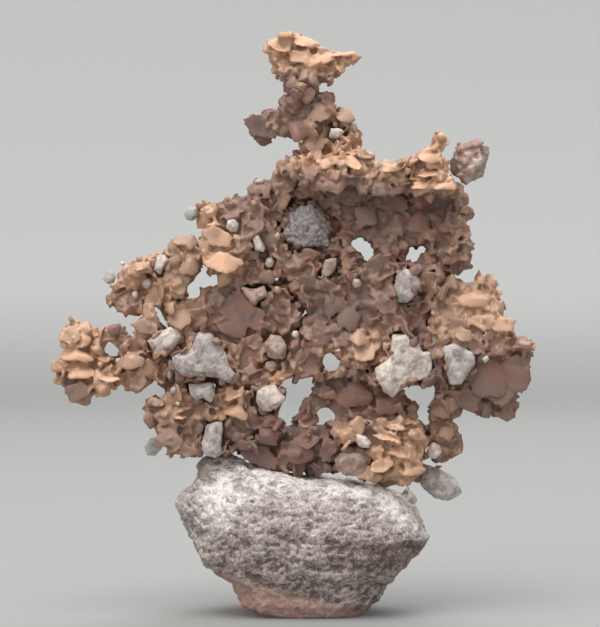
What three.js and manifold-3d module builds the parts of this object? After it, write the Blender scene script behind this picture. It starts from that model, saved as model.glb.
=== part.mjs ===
// Crystallised native copper on its matrix. Millimetres, +Z up, +X to the right, the showing face towards -Y.
// The origin is the middle of the flat cut under the rock, on which the specimen stands.
// The copper is a lacy sheet with octahedral crystals on its rims and faces. It is made whole, pierced by its
// natural gaps, and parted at its main forks. Calcite chips sit in pockets in it, and it stands on the rock.
import * as THREE from "three";
import { mergeVertices } from "three/addons/utils/BufferGeometryUtils.js";
import Module from "manifold-3d";

const wasm = await Module();
wasm.setup();

// Driving dimensions.
const CLEARANCE = 0.3; // between neighbouring pieces
const POCKET_ROOM = 0.39; // round a chip in its pocket, more than the clearance where its sides slant
const SHEET = 2.2; // thickness of the copper sheet
const THROUGH = 40; // length of a cutter that goes right through the specimen
const RIM_SPACING = 5.6; // between crystals along a rim
const RIM_CRYSTAL = 1.3; // half length of a crystal on a rim
const RIM_ROOTING = 0.55; // share of a rim crystal's size by which it is set into the sheet
const FACE_CRYSTAL = 1.6; // half length of a crystal on a face
const MERGE = 1e-3; // vertices closer than this are one
const ROCK_SIDES = 20; // facets round the rock
const ROCK_ROUGHNESS = 0.35; // how far the rock's surface wanders
const ROCK_SQUARENESS = 0.72; // power that turns the rock's oval sections into blunt ones

const material = (color, roughness, metalness) =>
  new THREE.MeshStandardMaterial({ color, roughness, metalness, flatShading: true });
const COPPER_GOLD = material(0xb98457, 0.45, 0.85);
const COPPER_BROWN = material(0x8a6450, 0.55, 0.8);
const COPPER_DARK = material(0x6b5149, 0.6, 0.75);
const CALCITE_WHITE = material(0xddd3cc, 0.5, 0);
const CALCITE_GREY = material(0xa9a3a6, 0.5, 0);
const ROCK = material(0xb9b5b7, 0.95, 0);

// Repeatable pseudo-random numbers from 0 to 1.
function sequence(seed) {
  let state = seed;
  return () => {
    state = (state * 1664525 + 1013904223) % 4294967296;
    return state / 4294967296;
  };
}

// A geometry with nothing but its positions, each corner shared by the faces that meet there.
function welded(geometry) {
  const bare = geometry.index ? geometry.toNonIndexed() : geometry.clone();
  bare.deleteAttribute("normal");
  bare.deleteAttribute("uv");
  return mergeVertices(bare, MERGE);
}

// A closed three.js geometry as a solid that can be joined and cut.
function solid(geometry) {
  const closed = welded(geometry);
  return new wasm.Manifold(
    new wasm.Mesh({
      numProp: 3,
      vertProperties: closed.attributes.position.array,
      triVerts: new Uint32Array(closed.index.array),
    }),
  );
}

const join = (solids) => solids.reduce((whole, piece) => whole.add(piece));

// Turns a solid back into a named mesh.
function meshOf(name, body, finish) {
  const { vertProperties, triVerts, numProp } = body.getMesh();
  if (numProp !== 3) throw new Error(`${name}: only positions are expected`);
  const geometry = new THREE.BufferGeometry();
  geometry.setAttribute("position", new THREE.BufferAttribute(new Float32Array(vertProperties), 3));
  geometry.setIndex(new THREE.BufferAttribute(new Uint32Array(triVerts), 1));
  const mesh = new THREE.Mesh(geometry, finish);
  mesh.name = name;
  return mesh;
}

// An outline in the XZ plane, given as [x, z] corners, extruded along Y and centred on y.
function prism(corners, y, thickness, bevel = 0) {
  const shape = new THREE.Shape(corners.map(([x, z]) => new THREE.Vector2(x, z)));
  const geometry = new THREE.ExtrudeGeometry(shape, {
    depth: thickness - 2 * bevel,
    bevelEnabled: bevel > 0,
    bevelThickness: bevel,
    bevelSize: bevel,
    bevelOffset: -bevel,
    bevelSegments: 1,
  });
  return geometry.rotateX(Math.PI / 2).translate(0, y + thickness / 2 - bevel, 0);
}

// A strip of one width along a path of [x, z] points, cut right through the specimen.
function kerf(path, width) {
  const links = path.slice(1).map((end, i) => {
    const [x0, z0] = path[i];
    const [x1, z1] = end;
    const length = Math.hypot(x1 - x0, z1 - z0);
    return new THREE.BoxGeometry(length + width, THROUGH, width)
      .rotateY(-Math.atan2(z1 - z0, x1 - x0))
      .translate((x0 + x1) / 2, 0, (z0 + z1) / 2);
  });
  return join(links.map(solid));
}

// Where a sheet's middle lies at (x, z): it slopes away from its own anchor.
const depthAt = (sheet, x, z) =>
  sheet.y + (sheet.slopeX ?? 0) * (x - sheet.anchor[0]) + (sheet.slopeZ ?? 0) * (z - sheet.anchor[1]);

// A sheet of copper: its outline extruded, then sheared so that it slopes in depth.
function sheetSolid(sheet) {
  const geometry = prism(sheet.outline, 0, sheet.thickness ?? SHEET);
  const at = geometry.attributes.position;
  for (let i = 0; i < at.count; i++) at.setY(i, at.getY(i) + depthAt(sheet, at.getX(i), at.getZ(i)));
  return solid(geometry);
}

// Whether (x, z) is inside an outline.
function inside(corners, x, z) {
  let within = false;
  corners.forEach(([x1, z1], i) => {
    const [x0, z0] = corners[(i + corners.length - 1) % corners.length];
    if (z1 > z !== z0 > z && x < ((x0 - x1) * (z - z1)) / (z0 - z1) + x1) within = !within;
  });
  return within;
}

// One octahedral crystal, stretched and turned by its own random numbers.
function crystal(x, y, z, size, next) {
  const stretch = () => size * (0.7 + 0.6 * next());
  return new THREE.OctahedronGeometry(1)
    .scale(stretch(), stretch(), stretch())
    .rotateX(Math.PI * next())
    .rotateY(Math.PI * next())
    .rotateZ(Math.PI * next())
    .translate(x, y, z);
}

// Crystals every RIM_SPACING along a sheet's free rim, set in from it by part of their size.
function rimCrystals(sheet, next) {
  const grown = [];
  const corners = sheet.outline;
  const outside = CLEARANCE; // a rim is free where no sheet lies this far outside it
  let walked = RIM_SPACING / 2;
  corners.forEach(([x0, z0], i) => {
    const [x1, z1] = corners[(i + 1) % corners.length];
    const length = Math.hypot(x1 - x0, z1 - z0);
    // the outline runs clockwise seen from the front, so its inner side is to the right of each edge
    const [inX, inZ] = [(z1 - z0) / length, -(x1 - x0) / length];
    for (; walked < length; walked += RIM_SPACING) {
      const [edgeX, edgeZ] = [x0 - inZ * walked, z0 + inX * walked];
      const [outX, outZ] = [edgeX - outside * inX, edgeZ - outside * inZ];
      if (SHEETS.some(({ outline }) => inside(outline, outX, outZ))) continue;
      const size = RIM_CRYSTAL * (0.75 + 0.5 * next());
      const [x, z] = [edgeX + RIM_ROOTING * size * inX, edgeZ + RIM_ROOTING * size * inZ];
      const y = depthAt(sheet, x, z) + (next() - 0.5) * (sheet.thickness ?? SHEET);
      grown.push(crystal(x, y, z, size, next));
    }
    walked -= length;
  });
  return grown;
}

// Crystals scattered over both faces of a sheet.
function faceCrystals(sheet, next) {
  const xs = sheet.outline.map(([x]) => x);
  const zs = sheet.outline.map(([, z]) => z);
  const [left, right] = [Math.min(...xs), Math.max(...xs)];
  const [low, high] = [Math.min(...zs), Math.max(...zs)];
  const grown = [];
  const wanted = sheet.crystals ?? 0;
  while (grown.length < wanted) {
    const x = left + (right - left) * next();
    const z = low + (high - low) * next();
    if (!inside(sheet.outline, x, z)) continue;
    const side = grown.length % 3 === 2 ? 1 : -1; // two on the front for each one behind
    const y = depthAt(sheet, x, z) + side * (sheet.thickness ?? SHEET) * 0.5;
    grown.push(crystal(x, y, z, FACE_CRYSTAL * (0.7 + 0.6 * next()), next));
  }
  return grown;
}

// The copper's sheets. Each outline runs clockwise seen from the front.
const SHEETS = [
  { // the crown: its lit top leans back
    y: -0.6, anchor: [0, 54], slopeZ: 0.25, thickness: 3.4, crystals: 3,
    outline: [
      [-3.4, 56.4], [-3.3, 57.2], [-2.0, 57.1], [-0.9, 57.3], [0.3, 57.6], [1.3, 56.4], [2.2, 56.3],
      [2.5, 55.7], [5.4, 55.8], [6.0, 55.1], [4.6, 54.3], [3.4, 53.9], [3.4, 52.7], [2.7, 52.6],
      [1.8, 53.2], [1.4, 52.4], [1.2, 51.0], [-1.1, 51.0], [-1.1, 52.9], [-2.0, 53.6], [-2.8, 54.7],
      [-3.3, 55.5],
    ],
  },
  { // the trunk
    y: -0.2, anchor: [2, 48], slopeZ: -0.1, thickness: 3.2, crystals: 2,
    outline: [
      [-1.0, 52.2], [0.9, 52.4], [2.6, 51.7], [3.3, 50.7], [3.3, 50.0], [4.5, 49.9], [5.2, 49.2],
      [6.0, 47.5], [5.7, 46.5], [6.8, 46.1], [7.2, 44.6], [7.2, 43.8], [-0.5, 43.9], [-0.5, 45.3],
      [0.1, 46.2], [0.5, 47.6], [0.2, 48.2], [-0.7, 49.3], [-1.2, 50.6],
    ],
  },
  { // the spur, bent back a little
    y: 0.8, anchor: [-3, 49], slopeX: -0.2, thickness: 2.4, crystals: 2,
    outline: [
      [-5.5, 48.6], [-5.2, 49.3], [-4.3, 49.8], [-3.4, 50.1], [-2.1, 50.2], [-1.9, 51.5], [-1.3, 51.6],
      [-0.8, 50.8], [0.8, 50.0], [0.8, 48.1], [-0.2, 47.8], [-1.1, 47.5], [-2.3, 47.7], [-2.9, 47.3],
      [-4.0, 47.2], [-5.0, 47.4],
    ],
  },
  { // the knob
    y: -2.2, anchor: [13, 45], thickness: 4.2, crystals: 3,
    outline: [
      [11.1, 44.0], [11.1, 45.2], [11.8, 46.0], [13.1, 46.4], [13.3, 47.5], [13.9, 47.7], [14.5, 47.2],
      [14.6, 46.4], [15.0, 45.2], [14.9, 43.4], [15.6, 42.0], [11.2, 42.0],
    ],
  },
  { // the ridge along the top of the body stands forward and leans back
    y: -2.4, anchor: [7, 43], slopeZ: 0.35, thickness: 2.8, crystals: 6,
    outline: [
      [-1.4, 44.7], [0.0, 45.5], [3.0, 45.7], [7.0, 45.4], [7.4, 44.6], [9.0, 44.5], [10.3, 44.1],
      [11.3, 43.8], [14.6, 43.0], [15.6, 42.2], [15.6, 41.3], [10.0, 41.6], [5.0, 42.2], [1.0, 42.6],
      [-1.8, 43.4],
    ],
  },
  { // the upper body, set back under the ridge
    y: 0.4, anchor: [4, 38], slopeZ: 0.08, slopeX: 0.05, thickness: 3.4, crystals: 7,
    outline: [
      [-9.9, 40.4], [-8.6, 40.8], [-7.6, 40.7], [-6.4, 41.3], [-5.6, 41.5], [-5.1, 42.4], [-3.7, 42.7],
      [-2.9, 43.2], [-2.1, 44.2], [-1.6, 44.9], [3.0, 45.0], [10.0, 43.4], [15.4, 42.0], [15.8, 41.4],
      [16.6, 40.5], [17.0, 39.5], [16.1, 38.7], [16.8, 37.6], [16.3, 36.1], [17.0, 35.7], [17.1, 34.5],
      [15.7, 33.8], [14.0, 32.7], [10.0, 33.0], [5.0, 32.4], [0.0, 32.0], [-5.0, 32.0], [-7.6, 32.8],
      [-9.3, 33.7], [-9.6, 35.0], [-9.7, 37.6],
    ],
  },
  { // the left shoulder of the body, standing forward over the gap beside the upper arm
    y: -1.6, anchor: [-7, 38], slopeZ: 0.2, thickness: 2.0, crystals: 2,
    outline: [
      [-9.7, 40.2], [-7.4, 40.4], [-4.0, 41.6], [-3.2, 39.0], [-4.6, 36.0], [-6.2, 34.8], [-9.2, 34.2],
      [-9.4, 36.4],
    ],
  },
  { // the upper arm bends back towards its tip
    y: -0.6, anchor: [-12, 34], slopeX: -0.22, thickness: 2.6, crystals: 4,
    outline: [
      [-9.4, 36.9], [-10.4, 36.5], [-11.1, 37.2], [-12.0, 37.5], [-12.9, 37.3], [-12.9, 36.3],
      [-14.6, 36.0], [-16.0, 35.3], [-16.8, 35.0], [-17.8, 34.4], [-18.9, 33.8], [-18.5, 32.8],
      [-18.9, 32.1], [-19.6, 31.4], [-19.5, 30.8], [-18.5, 30.4], [-18.0, 29.8], [-15.8, 30.0],
      [-14.3, 30.6], [-13.5, 31.0], [-13.0, 29.0], [-11.0, 29.2], [-11.4, 31.2], [-10.3, 32.9],
      [-10.0, 34.8], [-9.4, 35.0],
    ].reverse(),
  },
  { // the lower arm swings forward
    y: -1.4, anchor: [-14, 25], slopeX: 0.17, thickness: 2.8, crystals: 5,
    outline: [
      [-12.8, 26.0], [-12.8, 22.9], [-13.6, 23.4], [-14.3, 23.1], [-15.1, 23.6], [-15.5, 22.3],
      [-16.6, 22.0], [-17.7, 22.6], [-19.4, 22.4], [-20.8, 22.1], [-21.3, 21.2], [-22.2, 21.0],
      [-23.0, 21.5], [-23.3, 22.6], [-24.1, 23.6], [-24.1, 25.0], [-22.9, 26.1], [-23.6, 26.9],
      [-23.4, 28.1], [-22.8, 28.4], [-21.2, 28.5], [-19.2, 27.9], [-18.7, 28.7], [-17.8, 28.7],
      [-17.3, 27.5], [-16.1, 27.8], [-16.4, 28.7], [-15.4, 29.2], [-14.2, 29.2], [-13.6, 28.6],
      [-14.8, 27.6], [-14.5, 26.2],
    ],
  },
  { // the left of the body
    y: -0.2, anchor: [-6, 28], slopeZ: 0.06, thickness: 3.6, crystals: 7,
    outline: [
      [-13.5, 30.9], [-12.0, 32.7], [-10.0, 32.8], [-7.4, 33.5], [0.0, 33.5], [0.5, 31.2], [0.8, 27.0],
      [2.4, 23.7], [1.2, 22.5], [-1.9, 22.3], [-3.8, 22.0], [-10.0, 21.4], [-12.9, 21.6], [-13.0, 22.8],
      [-13.2, 26.0], [-12.4, 27.7], [-13.2, 29.0],
    ],
  },
  { // the right of the body
    y: -0.5, anchor: [6, 28], slopeX: -0.05, thickness: 3.8, crystals: 7,
    outline: [
      [-0.4, 33.5], [4.0, 34.4], [8.0, 35.0], [10.5, 35.0], [13.2, 35.0], [13.6, 31.2], [13.1, 26.7],
      [13.9, 22.1], [10.5, 21.8], [7.5, 22.8], [4.4, 23.3], [0.3, 23.1],
    ],
  },
  { // the upper half of the fan leans back
    y: -3.0, anchor: [17, 27], slopeZ: 0.42, slopeX: 0.12, thickness: 2.2, crystals: 4,
    outline: [
      [12.4, 32.2], [15.8, 33.1], [17.2, 33.1], [17.8, 33.8], [18.4, 33.0], [19.7, 31.9], [18.7, 31.3],
      [20.2, 30.5], [19.7, 29.7], [20.8, 28.1], [23.2, 27.0], [22.7, 26.1], [13.1, 25.8], [12.6, 28.0],
    ],
  },
  { // the lower half of the fan is a smooth plate that hangs back from the crest
    y: -3.0, anchor: [17, 27], slopeZ: -0.32, slopeX: 0.12, thickness: 2.2, crystals: 1,
    outline: [
      [12.9, 27.7], [20.4, 27.8], [22.9, 26.7], [23.0, 25.0], [21.9, 22.7], [21.2, 22.6], [21.7, 21.6],
      [21.2, 20.1], [20.6, 20.3], [19.9, 19.6], [19.1, 20.1], [17.6, 19.8], [16.8, 20.2], [15.6, 20.7],
      [13.8, 21.2], [12.8, 22.6],
    ],
  },
  { // the strip under the fan
    y: -0.4, anchor: [14, 19], slopeZ: -0.08, thickness: 2.4, crystals: 2,
    outline: [
      [13.2, 22.9], [15.8, 21.6], [15.2, 20.1], [15.2, 19.3], [15.6, 19.0], [15.2, 18.0], [15.7, 17.5],
      [15.8, 16.6], [15.2, 15.7], [14.4, 15.5], [12.4, 15.0], [12.0, 17.3], [12.1, 18.9],
      [12.6, 20.8],
    ],
  },
  { // the golden cluster stands forward
    y: -2.2, anchor: [8, 16], thickness: 4.4, crystals: 5,
    outline: [
      [3.5, 18.7], [5.2, 18.9], [7.2, 19.2], [10.0, 19.6], [11.9, 19.5], [12.5, 18.5], [12.6, 16.2],
      [12.2, 14.4], [10.2, 12.9], [8.6, 13.5], [6.8, 13.7], [4.5, 13.8], [3.2, 14.4],
    ],
  },
  { // the bridge over the cluster
    y: 0.2, anchor: [6, 21], slopeZ: 0.05, thickness: 2.6, crystals: 2,
    outline: [
      [-1.1, 19.1], [-0.8, 22.4], [1.5, 24.3], [4.6, 24.7], [7.5, 24.7], [10.6, 22.9], [12.2, 21.1],
      [12.3, 19.2], [10.0, 18.3], [5.2, 17.9], [1.8, 18.3], [-0.6, 18.4],
    ],
  },
  { // the lobe
    y: -1.2, anchor: [-8, 19], slopeX: 0.1, thickness: 3.0, crystals: 4,
    outline: [
      [-14.9, 21.4], [-14.3, 21.6], [-13.0, 21.3], [-12.9, 22.6], [-6.0, 23.2], [-3.8, 23.2],
      [-1.2, 22.7], [-0.7, 20.5], [-1.1, 18.2], [-3.8, 17.2], [-7.2, 16.3],
      [-9.4, 16.0], [-10.0, 15.7], [-11.8, 15.8], [-13.3, 16.1], [-13.7, 17.4], [-14.2, 18.4],
      [-14.3, 19.2], [-15.3, 19.8], [-14.9, 20.4],
    ],
  },
  { // the foot, set back in shade
    y: 0.6, anchor: [-1, 17], slopeZ: 0.05, thickness: 4.0, crystals: 3,
    outline: [
      [-7.2, 16.6], [-6.0, 18.0], [-1.6, 18.8], [1.8, 18.9], [4.0, 19.0], [4.0, 13.9], [1.3, 14.4],
      [-1.3, 14.3], [-4.2, 15.3], [-5.8, 15.7], [-6.6, 16.3],
    ],
  },
];

// Natural gaps that go right through the copper, as outlines.
const GAPS = [
  [[7.0, 38.4], [7.2, 39.4], [7.5, 40.0], [7.9, 39.7], [7.6, 39.1]],
  [
    [5.0, 36.7], [5.4, 37.1], [6.2, 37.4], [6.5, 37.0], [7.4, 37.2], [7.0, 36.7], [7.2, 36.0],
    [7.6, 35.3], [7.0, 34.9], [6.5, 35.4], [6.0, 36.0],
  ],
  [
    [10.5, 35.7], [10.9, 36.4], [12.4, 36.5], [12.7, 37.6], [13.1, 37.4], [12.8, 36.3], [12.2, 35.8],
    [11.3, 35.0],
  ],
  [[14.1, 40.6], [14.4, 41.1], [15.1, 41.3], [15.1, 40.7]],
  [
    [-11.4, 33.1], [-11.0, 32.8], [-10.4, 32.8], [-10.2, 32.3], [-9.9, 31.6], [-10.6, 31.4],
    [-11.6, 31.5], [-11.3, 32.1],
  ],
  [[-10.5, 32.6], [-9.6, 33.5], [-8.8, 33.5], [-7.4, 33.6], [-8.4, 32.5], [-8.8, 32.7], [-9.6, 32.6]],
  [[-9.7, 35.1], [-9.35, 33.3], [-9.85, 33.2], [-10.0, 34.2]],
  [[-2.8, 33.1], [-2.4, 33.4], [-1.5, 32.9], [-2.0, 32.7], [-2.8, 32.5]],
  [[0.9, 30.7], [0.5, 29.6], [0.2, 28.8], [-0.1, 28.8], [0.0, 29.8], [0.6, 30.4]],
  [
    [-1.7, 23.0], [-1.1, 23.4], [0.8, 23.3], [1.9, 23.8], [1.4, 23.0], [0.9, 22.0], [0.0, 21.1],
    [-0.3, 19.5], [-0.9, 19.2], [-1.0, 18.5], [-1.4, 18.5], [-2.1, 19.6], [-1.8, 20.6], [-1.2, 21.6],
    [-1.3, 22.4],
  ],
  [[2.3, 25.2], [2.8, 25.9], [3.2, 25.8], [4.2, 24.7], [3.9, 24.4], [3.0, 24.2], [2.5, 24.4]],
  [[1.7, 20.0], [2.8, 20.5], [3.1, 19.9], [4.9, 20.4], [3.4, 19.4], [1.9, 18.7]],
  [
    [10.4, 22.0], [11.1, 22.6], [13.65, 22.45], [13.2, 21.3], [12.9, 20.8], [12.8, 19.2], [12.4, 18.7],
    [11.8, 19.1], [11.7, 20.9],
  ],
  [[-19.1, 27.0], [-18.5, 27.1], [-18.1, 26.4], [-18.0, 25.7], [-19.3, 25.6]],
];

// Paths along which neighbouring branches part. Each runs from open air or a gap to another.
const FORKS = [
  [[-2.9, 52.1], [4.5, 51.7]], // crown and trunk
  [[-1.3, 52.3], [-1.0, 50.9], [0.2, 49.3], [0.35, 46.6]], // spur and trunk
  [[-2.4, 46.2], [3.0, 45.9], [8.4, 44.7]], // trunk and body
  [[10.7, 48.0], [10.8, 43.2], [13.5, 42.6], [17.2, 42.4]], // knob and body
  [[-9.75, 38.8], [-9.8, 35.0], [-10.1, 33.4], [-10.9, 32.2], [-11.5, 31.5], [-13.5, 31.1], [-14.6, 29.4]],
  [[-13.8, 30.2], [-13.1, 27.0], [-13.1, 22.0]], // lower arm and body
  [[-17.0, 21.4], [-14.4, 22.5], [-10.0, 22.5], [-3.8, 22.5], [-1.5, 22.8]], // body and lobe
  [[-1.3, 18.7], [-3.8, 18.0], [-6.0, 17.4], [-8.6, 15.4]], // lobe and foot
  [[2.1, 19.0], [3.3, 18.0], [3.0, 15.7], [3.5, 12.0]], // foot and cluster
  [[1.6, 23.6], [2.6, 24.5]], // bridge and body, between two gaps
  [[4.0, 24.6], [6.2, 24.4], [8.2, 23.4], [10.6, 22.1]], // bridge and body
  [[-1.1, 18.9], [1.9, 19.1]], // bridge and foot
  [[16.9, 34.0], [15.2, 33.2], [14.0, 33.4], [12.7, 31.0], [12.4, 27.0], [13.0, 24.5], [13.6, 22.3]],
  [[12.8, 22.8], [14.6, 21.9], [16.2, 19.8]], // fan and strip
  [[12.4, 19.0], [12.5, 17.0], [12.7, 15.3], [14.4, 14.0]], // strip and cluster
  [[-7.8, 33.2], [-5.0, 33.0], [-2.5, 33.1]], // upper and left body
  [[-1.9, 33.0], [1.0, 33.2], [4.0, 33.8], [7.1, 35.1], [9.0, 35.4], [11.2, 35.5]],
  [[12.2, 36.2], [12.9, 35.6], [13.6, 34.6], [14.2, 33.0]], // upper and right body
  [[-2.0, 32.9], [0.5, 30.2]], // left and right body, between two gaps
  [[0.1, 29.0], [-0.3, 26.0], [-0.4, 23.0]], // left and right body, between two gaps
];

// Each branch's name, a point inside it as [x, y, z], and its finish.
const BRANCHES = [
  ["copper_crown", [0, -0.6, 54.5], COPPER_GOLD],
  ["copper_trunk", [2.5, -0.2, 48.5], COPPER_BROWN],
  ["copper_spur", [-3, 0.8, 49], COPPER_BROWN],
  ["copper_knob", [13, -2.2, 45], COPPER_GOLD],
  ["copper_upper_body", [10, 0.7, 38.5], COPPER_DARK],
  ["copper_left_body", [-9.0, -0.4, 30.0], COPPER_BROWN],
  ["copper_right_body", [4.0, -0.8, 28.0], COPPER_DARK],
  ["copper_upper_arm", [-14, -0.2, 33.5], COPPER_BROWN],
  ["copper_lower_arm", [-16, -1.7, 24.5], COPPER_BROWN],
  ["copper_lobe", [-11.5, -1.5, 18.5], COPPER_BROWN],
  ["copper_foot", [-2, 0.6, 16.5], COPPER_DARK],
  ["copper_cluster", [8, 0.1, 21], COPPER_GOLD],
  ["copper_fan", [18, -1.5, 23.5], COPPER_DARK],
  ["copper_strip", [14.2, -0.4, 18.6], COPPER_BROWN],
];

// Larger calcite chips: name, outline, front and back depth, finish.
const CHIPS = [
  {
    name: "calcite_big_grey", front: -5.0, back: -1.9, bevel: 0.55, finish: CALCITE_GREY,
    outline: [
      [-12.6, 25.6], [-10.6, 26.5], [-10.0, 28.1], [-8.8, 28.0], [-7.4, 26.0], [-7.0, 24.9],
      [-6.4, 23.9], [-6.9, 23.0], [-8.3, 23.6], [-11.6, 23.8], [-12.3, 24.7],
    ],
  },
  {
    name: "calcite_large_white", front: -5.2, back: -1.7, bevel: 0.5, finish: CALCITE_WHITE,
    outline: [
      [9.1, 27.8], [10.4, 27.8], [10.9, 26.9], [11.5, 26.9], [12.0, 26.1], [12.8, 26.1], [13.0, 25.1],
      [12.7, 23.5], [11.1, 23.3], [10.2, 22.7], [9.1, 21.6], [8.3, 22.2], [7.6, 23.3], [7.4, 24.4],
      [8.8, 25.6],
    ],
  },
  {
    name: "calcite_left_white", front: -4.2, back: -1.0, bevel: 0.5, finish: CALCITE_WHITE,
    outline: [
      [-15.1, 27.2], [-14.0, 28.0], [-12.8, 28.5], [-11.7, 27.6], [-12.2, 26.8], [-12.9, 25.9],
      [-14.0, 25.7], [-14.6, 26.4],
    ],
  },
  {
    name: "calcite_right_grey", front: -5.3, back: -2.6, bevel: 0.4, finish: CALCITE_GREY,
    outline: [
      [13.8, 26.6], [15.0, 26.9], [17.0, 26.0], [17.1, 24.8], [16.3, 23.8], [15.7, 22.9], [14.7, 22.9],
      [14.2, 25.2],
    ],
  },
  {
    name: "calcite_lower_grey", front: -4.0, back: -1.4, bevel: 0.4, finish: CALCITE_GREY,
    outline: [
      [-11.0, 22.9], [-8.6, 23.0], [-8.3, 21.7], [-8.8, 21.0], [-9.6, 21.6], [-10.2, 21.2],
      [-10.9, 22.1],
    ],
  },
  {
    name: "calcite_lobe_white", front: -4.0, back: -1.2, bevel: 0.4, finish: CALCITE_GREY,
    outline: [
      [-9.2, 18.8], [-7.8, 19.2], [-7.6, 18.2], [-7.8, 16.7], [-7.7, 16.0], [-8.4, 15.7], [-9.4, 16.1],
      [-9.7, 17.1],
    ],
  },
  {
    name: "calcite_mid_white", front: -4.2, back: -1.6, bevel: 0.45, finish: CALCITE_WHITE,
    outline: [
      [-4.2, 22.2], [-3.4, 22.7], [-2.5, 22.8], [-2.0, 22.1], [-1.3, 21.5], [-1.9, 20.9], [-3.0, 20.2],
      [-3.9, 20.3], [-4.3, 21.1],
    ],
  },
  {
    name: "calcite_brown_round", front: -3.9, back: -1.5, bevel: 0.5, finish: CALCITE_GREY,
    outline: [
      [-3.5, 26.9], [-2.8, 27.7], [-1.9, 27.6], [-1.3, 26.8], [-1.5, 25.6], [-2.2, 25.1], [-3.1, 25.6],
    ],
  },
  {
    name: "calcite_hexagonal", front: -4.6, back: -1.6, bevel: 0.45, finish: CALCITE_GREY,
    outline: [
      [9.6, 33.6], [10.3, 34.3], [11.2, 34.0], [11.8, 33.2], [11.5, 31.9], [10.6, 30.9], [9.7, 31.0],
      [9.3, 32.4],
    ],
  },
  {
    name: "calcite_foot_round", front: -4.6, back: -1.6, bevel: 0.55, finish: CALCITE_GREY,
    outline: [
      [4.4, 16.6], [5.6, 16.8], [7.0, 16.0], [7.0, 15.0], [6.0, 14.0], [4.5, 13.9], [3.7, 14.5],
      [3.4, 15.5],
    ],
  },
  {
    name: "calcite_long_grey", front: -1.7, back: 1.0, bevel: 0.5, finish: CALCITE_GREY,
    outline: [
      [12.2, 14.8], [13.8, 14.4], [15.5, 13.4], [16.2, 12.0], [14.7, 11.2], [13.4, 11.5], [12.0, 12.8],
    ],
  },
  {
    name: "calcite_arm_white", front: -2.9, back: -0.8, bevel: 0.3, finish: CALCITE_WHITE,
    outline: [[-14.5, 34.2], [-14.1, 35.5], [-13.4, 35.7], [-12.9, 35.0], [-13.8, 33.7]],
  },
  {
    name: "calcite_shoulder_pale", front: -3.6, back: -1.3, bevel: 0.3, finish: CALCITE_WHITE,
    outline: [[-4.7, 37.2], [-4.2, 37.8], [-3.4, 36.3], [-3.6, 35.9], [-4.4, 36.1]],
  },
  {
    name: "calcite_mid_pale", front: -2.9, back: -0.8, bevel: 0.3, finish: CALCITE_WHITE,
    outline: [
      [-5.9, 32.5], [-4.6, 32.3], [-3.5, 32.6], [-3.3, 31.6], [-4.0, 31.1], [-4.6, 30.3], [-5.0, 31.2],
    ],
  },
  {
    name: "calcite_upper_grey", front: -3.3, back: -1.0, bevel: 0.3, finish: CALCITE_GREY,
    outline: [[2.1, 33.7], [2.5, 35.2], [3.6, 35.3], [3.5, 34.2], [2.9, 33.5]],
  },
  {
    name: "calcite_trunk_white", front: -3.0, back: -0.6, bevel: 0.3, finish: CALCITE_WHITE,
    outline: [[2.9, 47.3], [3.0, 48.2], [3.8, 48.2], [4.4, 47.8], [3.7, 47.1]],
  },
];

// Smaller crystals, as squat polyhedra: name, centre, half sizes, finish.
const CRYSTALS = [
  ["calcite_left_tip", [-19.2, 1.4, 33.5], [0.75, 0.8, 0.8], CALCITE_WHITE],
  ["calcite_arm_small", [-15.2, -1.3, 32.8], [0.55, 0.6, 0.7], CALCITE_WHITE],
  ["calcite_arm_low", [-16.4, -0.9, 31.7], [0.5, 0.5, 0.55], CALCITE_WHITE],
  ["calcite_lower_arm_small", [-17.8, -3.2, 25.1], [0.5, 0.5, 0.45], CALCITE_WHITE],
  ["calcite_shoulder_clear", [-10.8, -0.6, 39.8], [0.8, 0.8, 0.95], CALCITE_GREY],
  ["calcite_shoulder_round", [-6.7, -3.0, 38.5], [0.7, 0.6, 0.8], CALCITE_WHITE],
  ["calcite_shoulder_small", [-3.0, -1.8, 34.9], [0.5, 0.6, 0.65], CALCITE_WHITE],
  ["calcite_mid_bead", [-0.5, -2.2, 27.8], [0.45, 0.5, 0.45], CALCITE_WHITE],
  ["calcite_mid_round", [5.6, -3.0, 32.8], [0.55, 0.5, 0.55], CALCITE_GREY],
  ["calcite_brown_small", [-2.8, -2.4, 24.6], [0.75, 0.6, 0.6], CALCITE_GREY],
  ["calcite_cluster_white", [6.2, -4.9, 17.3], [1.1, 0.7, 0.75], CALCITE_WHITE],
  ["calcite_strip_white", [13.3, -2.4, 16.2], [0.85, 0.7, 1.0], CALCITE_WHITE],
  ["calcite_lobe_clear", [-14.7, 0.4, 16.5], [1.0, 0.9, 1.25], CALCITE_WHITE],
  ["calcite_coated_knob", [16.8, -1.8, 45.0], [2.3, 2.2, 2.7], CALCITE_GREY],
  ["matrix_inclusion", [0.7, -0.9, 38.5], [2.5, 1.4, 2.4], ROCK],
];

// The rock, as level sections from the cut up: height, left, right, front, back.
const ROCK_SECTIONS = [
  [0.0, -4.4, 6.4, -4.6, 4.8],
  [1.2, -6.0, 7.4, -5.6, 5.8],
  [3.2, -7.0, 8.8, -6.2, 6.3],
  [4.6, -9.4, 10.4, -6.7, 6.6],
  [6.2, -10.5, 12.1, -7.0, 6.8],
  [7.6, -11.0, 12.8, -7.0, 6.8],
  [9.0, -11.5, 12.3, -6.7, 6.6],
  [10.8, -12.3, 11.2, -6.1, 6.2],
  [11.9, -12.1, 10.2, -5.5, 5.6],
  [12.7, -10.8, 8.4, -4.9, 4.8],
  [13.2, -10.3, 3.6, -4.3, 4.0],
  [13.7, -10.2, -0.6, -3.8, 3.4],
  [14.6, -10.1, -4.4, -3.0, 2.6],
  [15.3, -9.5, -5.8, -2.2, 1.6],
  [15.7, -8.4, -6.4, -1.2, 0.6],
];

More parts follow.
